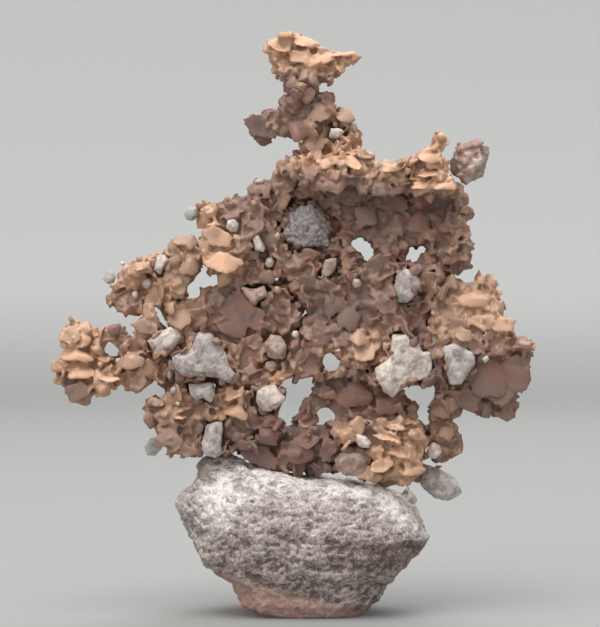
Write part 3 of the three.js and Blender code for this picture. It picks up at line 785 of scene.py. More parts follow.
class CrystalKit:
    """A few closed shapes of each habit, each about one unit in half size."""

    def __init__(self, seed: int, variety: int = 12) -> None:
        """Makes the shapes.

        Args:
            seed: Start of the random numbers.
            variety: Shapes of each habit.
        """
        rng = np.random.default_rng(seed)
        self.shapes = {habit: [self._shape(habit, rng) for _ in range(variety)] for habit in Habit}

    def _shape(self, habit: Habit, rng: np.random.Generator) -> tuple[np.ndarray, np.ndarray]:
        """The corners and triangles of one crystal.

        Args:
            habit: How the crystal grows.
            rng: Random numbers.

        Returns:
            Corners and triangles.
        """
        if habit is Habit.LEAF:
            return leaf_shape(rng)
        return self._hull(self._points(habit, rng))

    @staticmethod
    def _points(habit: Habit, rng: np.random.Generator) -> np.ndarray:
        """Corners of one crystal of a habit.

        Args:
            habit: How the crystal grows.
            rng: Random numbers.

        Returns:
            The corners, one to a row.
        """
        cube = np.array([(x, y, z) for x in (-1, 1) for y in (-1, 1) for z in (-1, 1)], float)
        if habit is Habit.SPINEL:
            tips = np.concatenate([np.eye(3), -np.eye(3)]) * rng.uniform(0.9, 1.3, (6, 1))
            return np.concatenate([tips, cube * rng.uniform(0.4, 0.55, (8, 1))])
        if habit is Habit.PLATE:
            turns = np.arange(6) * math.pi / 3 + rng.uniform(-0.3, 0.3, 6)
            reach = rng.uniform(0.8, 1.3, 6)
            rim = np.stack([np.cos(turns) * reach, np.sin(turns) * reach, rng.uniform(-0.1, 0.1, 6)], 1)
            faces = [rim * (0.9, 0.9, 0) + (0, 0, side * rng.uniform(0.14, 0.24)) for side in (-1, 1)]
            return np.concatenate([rim * 1.08, *faces])
        stretch = (0.95, 0.75, 0.85) if habit is Habit.BLOCK else (1.5, 0.5, 0.55)
        return cube * rng.uniform(0.72, 1.05, (8, 3)) * stretch

    @staticmethod
    def _hull(points: np.ndarray) -> tuple[np.ndarray, np.ndarray]:
        """The convex shape round some points, as corners and triangles facing out.

        Args:
            points: The points, one to a row.

        Returns:
            Corners and triangles.
        """
        shape = bmesh.new()
        verts = [shape.verts.new(point) for point in points]
        bmesh.ops.convex_hull(shape, input=verts)
        loose = [vert for vert in shape.verts if not vert.link_faces]
        bmesh.ops.delete(shape, geom=loose, context="VERTS")
        bmesh.ops.recalc_face_normals(shape, faces=shape.faces)
        return shape_arrays(shape)

    def grow(self, sites: Sites, mix: dict[Habit, float], rng: np.random.Generator) -> Parts:
        """Grows one crystal at each site.

        Args:
            sites: Where, how big and in what tone.
            mix: Share of each habit.
            rng: Random numbers for shapes and turns.

        Returns:
            All the crystals.
        """
        count = len(sites.middles)
        habits = list(mix)
        shares = np.array([mix[habit] for habit in habits])
        chosen = rng.choice(len(habits), count, p=shares / shares.sum())
        variety = len(next(iter(self.shapes.values())))
        variant = rng.integers(0, variety, count)
        turns = leaning_turns(sites.normals, 0.55, rng)
        stretch = rng.uniform(0.75, 1.25, (count, 3))
        grown = []
        for h, habit in enumerate(habits):
            for v, (corners, triangles) in enumerate(self.shapes[habit]):
                here = np.flatnonzero((chosen == h) & (variant == v))
                if not len(here):
                    continue
                scaled = corners[None] * (stretch[here] * sites.sizes[here, None])[:, None]
                turned = np.einsum("nij,nvj->nvi", turns[here], scaled)
                out = np.einsum("nvj,nj->nv", turned, sites.normals[here]) / sites.sizes[here, None]
                placed = turned + sites.middles[here, None]
                steps = np.arange(len(here))[:, None, None] * len(corners)
                grown.append(
                    Parts(
                        placed.reshape(-1, 3),
                        (triangles[None] + steps).reshape(-1, 3),
                        np.repeat(sites.tones[here], len(corners)),
                        np.clip(sites.lifts[here, None] + 0.45 * out, 0, 1).ravel(),
                    )
                )
        return Parts.joined(grown)


@dataclass
class Sites:
    """Places where crystals grow."""

    middles: np.ndarray
    normals: np.ndarray
    sizes: np.ndarray
    tones: np.ndarray
    lifts: np.ndarray


def leaning_turns(normals: np.ndarray, lean: float, rng: np.random.Generator) -> np.ndarray:
    """Rotation matrices whose third axis leans at random from each normal.

    Args:
        normals: Unit vectors.
        lean: How far the axes lean, as a share of a unit vector.
        rng: Random numbers.

    Returns:
        One matrix for each normal.
    """
    out = units(normals + lean * rng.normal(size=normals.shape))
    side = units(np.cross(out, rng.normal(size=normals.shape)))
    return np.stack([side, np.cross(out, side), out], 2)


def units(vectors: np.ndarray) -> np.ndarray:
    """The vectors at length one."""
    return vectors / np.maximum(np.linalg.norm(vectors, axis=1, keepdims=True), 1e-20)


# --------------------------------------------------------------------------------------------------
# Copper


OWN_WEIGHT = 0.6  # how strongly a node's own tone counts beside its patches
PATCH_WEIGHT = 4.0  # how strongly a patch counts at its middle
PATCH_FALL = 1.6  # how fast that falls towards its edge


@dataclass(frozen=True)
class Patch:
    """A place on a node with a tone set for it, in shares of the node's box seen from the front. Its tone
    holds the surface's own colour together with painted light and shade.
    """

    across: float
    up: float
    wide: float
    tall: float
    tone: float
    calm: float = 0.0  # 1 is a smooth plate with few crystals on it

    def weight(self, across: np.ndarray, up: np.ndarray) -> np.ndarray:
        """How strongly the patch counts at each place."""
        far = ((across - self.across) / self.wide) ** 2 + ((up - self.up) / self.tall) ** 2
        return PATCH_WEIGHT * np.exp(-PATCH_FALL * far)


def patched(
    node: str, points: np.ndarray, tone: float, patches: Sequence[Patch]
) -> tuple[np.ndarray, np.ndarray]:
    """The tone and the calm at each point of a node.

    Args:
        node: The CAD node, whose box the patches are placed in.
        points: Places in metres.
        tone: The node's own tone, away from every patch.
        patches: Its patches.

    Returns:
        The tones and the calms.
    """
    low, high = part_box(node)
    across = (points[:, 0] - low.x) / (high.x - low.x)
    up = (points[:, 2] - low.z) / (high.z - low.z)
    weights = [np.full(len(points), OWN_WEIGHT)] + [patch.weight(across, up) for patch in patches]
    tones = [tone] + [patch.tone for patch in patches]
    calms = [0.0] + [patch.calm for patch in patches]
    total = sum(weights)
    mean_tone = sum(weight * each for weight, each in zip(weights, tones)) / total
    mean_calm = sum(weight * each for weight, each in zip(weights, calms)) / total
    return mean_tone, mean_calm


@dataclass(frozen=True)
class Layer:
    """One generation of crystals."""

    spacing: float
    smallest: float
    largest: float
    sunk: float  # share of its half size by which a crystal's middle lies under the surface
    relief: float  # how far soft noise carries the crystals out and in
    mix: tuple[tuple[Habit, float], ...]


LAYERS = (
    Layer(
        spacing=1.2 * MM, smallest=0.6 * MM, largest=1.3 * MM, sunk=0.25, relief=0.8 * MM,
        mix=((Habit.LEAF, 0.8), (Habit.SPINEL, 0.2)),
    ),
    Layer(
        spacing=0.72 * MM, smallest=0.34 * MM, largest=0.7 * MM, sunk=0.1, relief=0.8 * MM,
        mix=((Habit.LEAF, 0.65), (Habit.BLOCK, 0.1), (Habit.SPINEL, 0.15), (Habit.BAR, 0.1)),
    ),
    Layer(
        spacing=0.8 * MM, smallest=0.18 * MM, largest=0.36 * MM, sunk=-0.3, relief=0.85 * MM,
        mix=((Habit.PLATE, 0.4), (Habit.BLOCK, 0.3), (Habit.SPINEL, 0.2), (Habit.BAR, 0.1)),
    ),
)

CRUST_MIX = ((Habit.SPINEL, 0.6), (Habit.LEAF, 0.4))
CRUST = (
    Layer(0.8 * MM, 0.4 * MM, 0.7 * MM, sunk=0.5, relief=0.3 * MM, mix=CRUST_MIX),
    Layer(0.6 * MM, 0.2 * MM, 0.4 * MM, sunk=0.3, relief=0.3 * MM, mix=CRUST_MIX),
)


@dataclass(frozen=True)
class Leaf:
    """One listed crystal on a branch's showing side, in shares of the branch's box."""

    across: float
    up: float
    wide: float  # half width in millimetres
    tall: float  # half height in millimetres
    tone: float
    spin: float = 0.0  # degrees, seen from the front
    lean: float = 25.0  # degrees by which its face is turned up
    out: float = 0.5  # millimetres by which its middle stands out
    habit: Habit = Habit.LEAF


@dataclass
class CopperBranch:
    """One branch of the copper: a rough core grown over with crystals."""

    node: str
    finish: CopperFinish
    tone: float
    patches: tuple[Patch, ...] = ()
    leaves: tuple[Leaf, ...] = ()
    layers: tuple[Layer, ...] = LAYERS
    core_voxel: float = 0.32 * MM
    core_wear: float = 0.5 * MM  # how far noise eats into the core
    voxel: float = 0.125 * MM  # length of the finished faces
    keep: float = 0.46  # share of them that is kept
    thickest: float = 0.6  # most that a listed leaf is thickened or folded, in millimetres
    lump: float = 2.4 * MM  # size of the lumps that the crystals gather in
    rim_facing: float = 0.6  # a wall that faces front or back less than this is a rim
    rim_size: float = 0.8  # size of a crystal on a rim, as a share of the others'
    rim_sunk: float = 0.85  # share of its half size by which a crystal on a rim is set in
    rim_swing: float = 0.4  # share of the relief that the rims follow, inwards only
    fork: float = 0.42 * MM  # a wall nearer than this to another branch is grown over
    bed: float = 1.1 * MM  # a wall nearer than this to a chip is grown over
    fork_sunk: float = 0.1  # share of its half size by which a crystal there is set in
    calm_sunk: float = 0.3 * MM  # how far crystals are set back on a calm patch
    back_wear: float = 2.2 * MM  # how far broad hollows sink into the back

    @property
    def seed(self) -> int:
        """The branch's own seed."""
        return seed_of(self.node, 1)

    def dents(self, points: np.ndarray, normals: np.ndarray) -> np.ndarray:
        """How far the back is sunk in at each point, in broad hollows.

        Args:
            points: Places on the branch's solid.
            normals: Its normals there.

        Returns:
            The depth at each point in metres, 0 away from the back.
        """
        broad = 0.5 - 0.7 * noise_at(points, 1.8 * self.lump)
        behind = np.clip(1.6 * normals[:, 1] - 0.5, 0, 1)
        return self.back_wear * np.clip(broad, 0, 1) * behind

    def core(self) -> Parts:
        """The branch's own solid with its surface eaten into.

        Returns:
            The core, a little darker than the crystals on it.
        """
        corners, triangles = fine_skin(*node_arrays(self.node), self.core_voxel)
        normals = surface_normals(corners, triangles)
        eaten = noise_at(corners, self.lump, 2) * 0.5 - 0.5
        worn = eaten * self.core_wear - self.dents(corners, normals)
        corners = corners + normals * worn[:, None]
        tone, _ = patched(self.node, corners, self.tone, self.patches)
        return Parts(corners, triangles, tone - 0.1, np.zeros(len(corners)))

    def scattered(self, layer: Layer, rng: np.random.Generator) -> tuple[np.ndarray, ...]:
        """Scatters places for one layer's crystals over the branch's solid.

        Args:
            layer: The generation.
            rng: Random numbers.

        Returns:
            The places, the solid's normals there, their tones and how calm they are.
        """
        corners, triangles = node_arrays(self.node)
        first, second, third = (corners[triangles[:, i]] for i in range(3))
        crossed = np.cross(second - first, third - first)
        areas = np.linalg.norm(crossed, axis=1)
        wanted = int(2.2 * areas.sum() / 2 / layer.spacing**2)  # more than will fit
        pick = rng.choice(len(areas), wanted, p=areas / areas.sum())
        a, b = rng.random((2, wanted, 1))
        flip = a + b > 1
        a, b = np.where(flip, 1 - a, a), np.where(flip, 1 - b, b)
        points = first[pick] + a * (second - first)[pick] + b * (third - first)[pick]
        normals = crossed[pick] / areas[pick, None]
        tones, calm = patched(self.node, points, self.tone, self.patches)
        bared = 0.35 if layer is self.layers[0] else 0.95  # share left out of a wholly calm patch
        busy = rng.random(wanted) > calm * bared
        points, normals, tones, calm = (each[busy] for each in (points, normals, tones, calm))
        kept = spaced(points, layer.spacing)
        return points[kept], normals[kept], tones[kept], calm[kept]

    def sites(self, layer: Layer, rng: np.random.Generator, cover: Cover) -> Sites:
        """Places for one layer's crystals on the branch's surface.

        Args:
            layer: The generation.
            rng: Random numbers.
            cover: Keeps the natural gaps open and the chips in sight.

        Returns:
            The sites.
        """
        points, normals, tones, calm = self.scattered(layer, rng)
        count = len(points)
        swell = noise_at(points, self.lump)
        fork = cover.close(cover.copper, points, normals, self.fork)
        fork |= cover.close(cover.chips, points, normals, self.bed)
        rim = (np.abs(normals[:, 1]) < self.rim_facing) & ~fork
        shrunk = np.where(rim, self.rim_size, 1.0)
        sizes = rng.uniform(layer.smallest, layer.largest, count) * shrunk
        sunk = np.select([fork, rim], [self.fork_sunk, self.rim_sunk], layer.sunk)
        swing = np.select([fork, rim], [0.0, np.minimum(swell, 0) * self.rim_swing], swell)
        out = layer.relief * swing - sunk * sizes - self.calm_sunk * calm
        out = out - self.dents(points, normals)
        middles = points + normals * out[:, None]
        fits = cover.fits(middles, sizes)
        tones = tones + rng.uniform(-0.2, 0.2, count) + 0.12 * swell
        lifts = np.clip(0.5 + 0.4 * swell, 0.05, 0.95)
        return Sites(middles[fits], normals[fits], sizes[fits], tones[fits], lifts[fits])

    def set_leaves(self, kit: CrystalKit, cover: Cover) -> Parts:
        """The listed crystals, each on the surface behind its place.

        Args:
            kit: The crystals' shapes.
            cover: Tells what there is at a place, seen from the front.

        Returns:
            The crystals.
        """
        set_by_hand = []
        for number, leaf in enumerate(self.leaves):
            place = cover.place(self.node, leaf.across, leaf.up) + FRONT * (leaf.out * MM)
            shapes = kit.shapes[leaf.habit]
            corners, triangles = shapes[(self.seed + number) % len(shapes)]
            lean = Matrix.Rotation(math.radians(90 - leaf.lean), 3, "X")
            spin = leaf.spin + 12 * (number % 5 - 2)  # no two neighbours lie alike
            turn = lean @ Matrix.Rotation(math.radians(spin), 3, "Z")
            thick = min(0.8 * leaf.wide, 0.8 * leaf.tall, self.thickest)
            scaled = corners * (leaf.wide * MM, leaf.tall * MM, thick * MM)
            placed = scaled @ np.array(turn).T + np.array(place)
            even = np.ones(len(corners))
            set_by_hand.append(Parts(placed, triangles, leaf.tone * even, even))
        return Parts.joined(set_by_hand)

    def build(self, kit: CrystalKit, cover: Cover) -> bpy.types.Object:
        """Makes the piece, which stands for the branch's CAD solid.

        Args:
            kit: The crystals' shapes.
            cover: Tells open air from copper.

        Returns:
            The finished piece.
        """
        rng = np.random.default_rng(self.seed)
        grown = []
        for layer in self.layers:
            grown.append(kit.grow(self.sites(layer, rng, cover), dict(layer.mix), rng))
        if self.leaves:
            grown.append(self.set_leaves(kit, cover))
        rough = Parts.joined([self.core(), *grown])
        skin = fine_skin(rough.corners, rough.triangles, self.voxel, self.keep)
        corners, triangles = main_body(*skin)
        lift = crystal_relief(corners, triangles)
        parts = Parts(corners, triangles, nearest_tone(rough, corners), lift)
        piece = parts.to_object(f"{self.node}_crystals", True)
        self.finish.dress(piece)
        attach(piece, BODY)
        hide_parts(self.node)
        return piece


def nearest_tone(source: Parts, points: np.ndarray) -> np.ndarray:
    """The tone of the source's corner that is nearest to each point.

    Args:
        source: Parts whose tones are known.
        points: Places in metres.

    Returns:
        One tone for each point.
    """
    tree = KDTree(len(source.corners))
    for number, corner in enumerate(source.corners):
        tree.insert(corner, number)
    tree.balance()
    return source.tone[[tree.find(point)[1] for point in points]]


class Air(Enum):
    """What a line of sight meets."""

    SOLID = 0
    OUTSIDE = 1
    GAP = 2
    CHIP = 3


class Cover:
    """Tells, seen from the front, what there is at a place."""

    margin = 4  # lines of sight beyond the CAD box on each side
    gap_spots = 1  # of the sixteen spots that a crystal is tried at, how many may lie over a gap
    outside_spots = 6  # the same for the outside
    chip_spots = 3  # the same for a chip

    def __init__(self, nodes: Sequence[str], shown: Sequence[str], step: float = 0.12 * MM) -> None:
        """Looks through the CAD solids once.

        Args:
            nodes: The CAD nodes.
            shown: Those of the chips that crystals mustn't hide.
            step: How fine the lines of sight are.
        """
        self.start = CAD_BOX[0].y - 10 * MM
        self.step = step
        copper = [node for node in nodes if node.startswith("copper")]
        self.each = {node: self._tree([node]) for node in nodes}
        self.copper = self._tree(copper)
        self.chips = self._tree([node for node in nodes if node not in copper])
        low, high = CAD_BOX
        self.origin = np.array([low.x, low.z]) - self.margin * step
        cells = [int((high[axis] - low[axis]) / step) for axis in (0, 2)]
        self.size = [count + 2 * self.margin + 1 for count in cells]
        self.air = self._look([node for node in nodes if node not in shown], shown)

    def _look(self, walls: Sequence[str], chips: Sequence[str]) -> np.ndarray:
        """What each line of sight meets, row by row.

        Args:
            walls: CAD nodes that crystals may hide.
            chips: CAD nodes that they mustn't.

        Returns:
            The map of what is met, as values of Air.
        """
        solids = self._tree([*walls, *chips])
        first_chip = sum(len(node_arrays(node)[1]) for node in walls)
        wide, tall = self.size
        air = np.full((wide, tall), Air.GAP.value)
        for i in range(wide):
            for j in range(tall):
                x, z = self.origin + self.step * np.array([i, j])
                face = solids.ray_cast(Vector((x, self.start, z)), -FRONT)[2]
                if face is not None:
                    air[i, j] = (Air.CHIP if face >= first_chip else Air.SOLID).value
        gap = air == Air.GAP.value
        air[gap & ~self._opened(gap)] = Air.SOLID.value
        self._flood(air)
        return air

    @staticmethod
    def _flood(air: np.ndarray) -> None:
        """Marks the open air that is joined to the map's edge as the outside.

        Args:
            air: The map, changed in place.
        """
        wide, tall = air.shape
        edge = [(0, 0)]
        air[0, 0] = Air.OUTSIDE.value
        while edge:
            i, j = edge.pop()
            for a, b in ((i + 1, j), (i - 1, j), (i, j + 1), (i, j - 1)):
                if 0 <= a < wide and 0 <= b < tall and air[a, b] == Air.GAP.value:
                    air[a, b] = Air.OUTSIDE.value
                    edge.append((a, b))

    @staticmethod
    def _opened(mask: np.ndarray, rounds: int = 2) -> np.ndarray:
        """The parts of a mask wider than slits: worn away from every side, then grown back.

        Args:
            mask: The mask.
            rounds: How many cells it is worn away by and grown back by.

        Returns:
            The wide parts.
        """
        ways = ((1, 0), (1, 1), (-1, 0), (-1, 1))
        for combine in (np.logical_and, np.logical_or):
            for _ in range(rounds):
                mask = combine.reduce([mask, *(np.roll(mask, step, axis) for step, axis in ways)])
        return mask

    @staticmethod
    def _tree(nodes: Iterable[str]) -> BVHTree:
        """The solids of some CAD nodes, ready for lines of sight.

        Args:
            nodes: The CAD nodes.

        Returns:
            The tree, whose faces follow the order of the nodes.
        """
        several = [node_arrays(node) for node in nodes]
        starts = np.cumsum([0] + [len(corners) for corners, _ in several])
        corners = np.concatenate([corners for corners, _ in several])
        triangles = np.concatenate([faces + start for (_, faces), start in zip(several, starts)])
        return BVHTree.FromPolygons(corners.tolist(), triangles.tolist())

    def place(self, node: str, across: float, up: float) -> Vector:
        """The place on a node's showing side at these shares of its box.

        Args:
            node: The CAD node.
            across: Share of its box's width.
            up: Share of its box's height.

        Returns:
            The place in metres.
        """
        low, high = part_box(node)
        x, z = low.x + across * (high.x - low.x), low.z + up * (high.z - low.z)
        return Vector((x, self.depth(node, x, z), z))

    def depth(self, node: str, across: float, up: float) -> float:
        """How far back a node's showing side lies at a place, or its middle in an opening.

        Args:
            node: The CAD node.
            across: The place's X in metres.
            up: Its Z in metres.

        Returns:
            The Y in metres.
        """
        met = self.each[node].ray_cast(Vector((across, self.start, up)), -FRONT)[0]
        low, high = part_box(node)
        return met.y if met else (low.y + high.y) / 2

    def node_at(self, across: float, up: float, nodes: Iterable[str]) -> tuple[str, float] | None:
        """The first of some nodes that a line of sight meets, and how far back.

        Args:
            across: The line's X in metres.
            up: Its Z in metres.
            nodes: The CAD nodes looked at.

        Returns:
            The node's name and the Y in metres, or nothing where the line meets none of them.
        """
        origin = Vector((across, self.start, up))
        met = [(self.each[node].ray_cast(origin, -FRONT)[0], node) for node in nodes]
        met = [(place.y, node) for place, node in met if place]
        return (min(met)[1], min(met)[0]) if met else None

    @staticmethod
    def close(solids: BVHTree, points: np.ndarray, normals: np.ndarray, reach: float) -> np.ndarray:
        """Whether a wall faces one of some solids nearer than a reach.

        Args:
            solids: The solids.
            points: Places on walls.
            normals: Which way the walls face.
            reach: The distance.

        Returns:
            True for each place that does.
        """
        clear = 0.02 * MM  # starts off the wall itself
        lines = zip(points + normals * clear, normals)
        met = [solids.ray_cast(Vector(point), Vector(way), reach)[0] for point, way in lines]
        return np.array([place is not None for place in met])

    def fits(self, middles: np.ndarray, sizes: np.ndarray) -> np.ndarray:
        """Whether crystals keep the gaps open, show the chips and don't hang far outside.

        Args:
            middles: The crystals' middles.
            sizes: Their half sizes.

        Returns:
            True for each crystal that fits.
        """
        gaps, outside, chips = np.zeros((3, len(middles)), int)
        for turn in np.arange(8) * math.pi / 4:
            for reach in (0.5, 1.0):
                way = np.array([math.cos(turn), math.sin(turn)]) * reach
                spots = middles[:, [0, 2]] + sizes[:, None] * way
                cells = np.rint((spots - self.origin) / self.step).astype(int)
                cells = np.clip(cells, 0, np.array(self.size) - 1)
                met = self.air[cells[:, 0], cells[:, 1]]
                gaps += met == Air.GAP.value
                outside += met == Air.OUTSIDE.value
                chips += met == Air.CHIP.value
        clear = (gaps <= self.gap_spots) & (outside <= self.outside_spots)
        return clear & (chips <= self.chip_spots)


# --------------------------------------------------------------------------------------------------
# Calcite and rock


@dataclass
class CalciteChip:
    """A broken crystal of calcite, cleaved from its CAD solid."""

    node: str
    finish: CalciteFinish
    cuts: int = 7
    deepest: float = 0.26  # share of its half size that the deepest cleavage takes off
    voxel: float = 0.13 * MM
    rough: float = 0.13 * MM  # how far noise lifts and sinks its faces

    def build(self) -> bpy.types.Object:
        """Makes the piece, which stands for the chip's CAD solid.

        Returns:
            The finished piece.
        """
        rng = np.random.default_rng(seed_of(self.node, 3))
        shape = node_shape(self.node)
        low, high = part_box(self.node)
        half = (high - low) / 2
        for number in range(self.cuts):
            side = 1 if number % 4 == 3 else -1
            away = Vector((rng.normal(), side * abs(rng.normal(0.9, 0.5)), rng.normal())).normalized()
            reach = max(vert.co.dot(away) for vert in shape.verts)
            bite = rng.uniform(0.05, self.deepest) * min(half)
            self._cleave(shape, away * (reach - bite), away)
        voxel = min(self.voxel, 0.22 * min(half))
        corners, triangles = fine_skin(*shape_arrays(shape), voxel)
        normals = surface_normals(corners, triangles)
        lumps = noise_at(corners, 1.3 * MM, 4)
        grain = noise_at(corners, 0.3 * MM, 2, 31.0)
        size = min(1.0, min(half) / MM)  # small chips are less rough
        out = self.rough * size * (lumps + 0.4 * grain)
        corners = corners + normals * out[:, None]
        lift = relief(corners, triangles, 0.05 * MM)
        even = np.full(len(corners), 0.5)
        piece = Parts(corners, triangles, even, lift).to_object(f"{self.node}_crystal", True)
        self.finish.dress(piece)
        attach(piece, BODY)
        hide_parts(self.node)
        return piece

    @staticmethod
    def _cleave(shape: bmesh.types.BMesh, at: Vector, away: Vector) -> None:
        """Cuts off what lies beyond a plane and closes the cut.

        Args:
            shape: The chip, changed in place.
            at: A point on the plane.
            away: The plane's normal, towards what is cut off.
        """
        everything = [*shape.verts, *shape.edges, *shape.faces]
        cut = bmesh.ops.bisect_plane(
            shape, geom=everything, plane_co=at, plane_no=away, clear_outer=True
        )
        edges = [item for item in cut["geom_cut"] if isinstance(item, bmesh.types.BMEdge)]
        if edges:
            bmesh.ops.edgeloop_fill(shape, edges=edges)


@dataclass(frozen=True)
class Grain:
    """One small loose crystal on a branch, placed in shares of the branch's box."""

    node: str
    across: float
    up: float
    wide: float  # half width in millimetres
    tall: float  # half height in millimetres
    out: float = 0.5  # millimetres by which its middle stands out


@dataclass
class Grains:
    """Small crystals of calcite scattered over the copper, as one piece."""

    name: str
    finish: CalciteFinish
    grains: tuple[Grain, ...]

    def build(self, kit: CrystalKit, cover: Cover) -> bpy.types.Object:
        """Makes the piece.

        Args:
            kit: The crystals' shapes.
            cover: Tells what there is at a place, seen from the front.

        Returns:
            The finished piece.
        """
        several = []
        shapes = kit.shapes[Habit.SPINEL]
        for number, grain in enumerate(self.grains):
            corners, triangles = shapes[number % len(shapes)]
            place = cover.place(grain.node, grain.across, grain.up) + FRONT * (grain.out * MM)
            half = np.array([grain.wide, (grain.wide + grain.tall) / 2, grain.tall]) * MM
            even = np.full(len(corners), 0.5)
            several.append(Parts(corners * half + np.array(place), triangles, even, even))
        rough = Parts.joined(several)
        corners, triangles = fine_skin(rough.corners, rough.triangles, 0.09 * MM)
        wear = noise_at(corners, 0.4 * MM, 3) * 0.07 * MM
        corners = corners + surface_normals(corners, triangles) * wear[:, None]
        even = np.full(len(corners), 0.5)
        piece = Parts(corners, triangles, even, even).to_object(self.name, True)
        self.finish.dress(piece)
        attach(piece, BODY)
        return piece


@dataclass
class Claws:
    """Small copper crystals that grow over the edges of the chips and hold them."""

    chips: tuple[str, ...]
    branches: tuple[CopperBranch, ...]
    finish: CopperFinish
    spacing: float = 0.42 * MM
    smallest: float = 0.25 * MM
    largest: float = 0.7 * MM
    beside: float = 0.3 * MM  # copper this near a chip's outline grows over it
    reach: float = 2.5 * MM  # but not where it lies further back than this
    least: float = 2.4 * MM  # chips narrower than this stay clear
    widest: float = 5 * MM  # no chip's outline is further from its middle than this
    filled: float = 0.8  # share of the places that are grown over
    voxel: float = 0.1 * MM
    keep: float = 0.4  # share of the faces that is kept

    def edge(self, chip: str, cover: Cover, turn: float, over: float) -> Vector | None:
        """A place near a chip's outline where copper stands beside it.

        Args:
            chip: The chip's node.
            cover: Finds the chip and the copper.
            turn: Direction from the chip's middle, seen from the front.
            over: How far inside the outline the place lies.

        Returns:
            The place, on the chip's surface, or nothing where the copper is missing or far behind.
        """
        low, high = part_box(chip)
        middle = (low + high) / 2
        way = Vector((math.cos(turn), 0.0, math.sin(turn)))
        step = 0.08 * MM
        far = 0.0
        spot = middle
        while far < self.widest and cover.node_at(spot.x, spot.z, [chip]):
            far += step
            spot = middle + way * far
        beside = middle + way * (far + self.beside)
        met = cover.node_at(beside.x, beside.z, [branch.node for branch in self.branches])
        if far == 0.0 or not met:
            return None
        place = middle + way * (far - over)
        rim = cover.depth(chip, place.x, place.z)
        if met[1] - rim > self.reach:
            return None
        return Vector((place.x, min(met[1], rim), place.z))

    def sites(self, cover: Cover, rng: np.random.Generator) -> Sites:
        """Places round every chip that isn't small.

        Args:
            cover: Tells what there is at a place, seen from the front.
            rng: Random numbers.

        Returns:
            The places.
        """
        found = []
        for chip in self.chips:
            low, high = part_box(chip)
            if min(high.x - low.x, high.z - low.z) < self.least:
                continue
            around = math.pi * ((high.x - low.x) + (high.z - low.z)) / 2
            count = max(6, int(around / self.spacing))
            for number in range(count):
                turn = (number + rng.uniform(0, 1)) * 2 * math.pi / count
                place = self.edge(chip, cover, turn, rng.uniform(-0.25, 0.3) * MM)
                if place and rng.random() < self.filled:
                    found.append(place)
        middles = np.array(found)
        tones = np.array([self.tone_beside(place, cover) for place in middles])
        sizes = rng.uniform(self.smallest, self.largest, len(found))
        normals = units(np.array(FRONT) + 0.5 * rng.normal(size=middles.shape))
        middles = middles + 0.12 * MM * rng.normal(size=middles.shape)
        tones = tones + rng.uniform(-0.2, 0.1, len(found))
        return Sites(middles, normals, sizes, tones, np.full(len(found), 0.7))

    def tone_beside(self, place: np.ndarray, cover: Cover) -> float:
        """The tone that the nearest branch has at a place.

        Args:
            place: The place in metres.
            cover: Tells what there is at a place, seen from the front.

        Returns:
            The tone.
        """
        far = [cover.each[branch.node].find_nearest(Vector(place))[3] for branch in self.branches]
        branch = self.branches[int(np.argmin(far))]
        return patched(branch.node, place[None], branch.tone, branch.patches)[0][0]

    def build(self, kit: CrystalKit, cover: Cover) -> bpy.types.Object:
        """Makes all the claws as one piece.

        Args:
            kit: The crystals' shapes.
            cover: Tells what there is at a place, seen from the front.

        Returns:
            The finished piece.
        """
        rng = np.random.default_rng(11)
        grown = kit.grow(self.sites(cover, rng), {Habit.LEAF: 0.75, Habit.SPINEL: 0.25}, rng)
        corners, triangles = fine_skin(grown.corners, grown.triangles, self.voxel, self.keep)
        lift = crystal_relief(corners, triangles)
        parts = Parts(corners, triangles, nearest_tone(grown, corners), lift)
        piece = parts.to_object("copper_claws", True)
        self.finish.dress(piece)
        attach(piece, BODY)
        return piece


@dataclass(frozen=True)
class Chunk:
    """A lump added to a rock: its middle in shares of the rock's box, its half sizes in mm."""

    place: tuple[float, float, float]
    half: tuple[float, float, float]


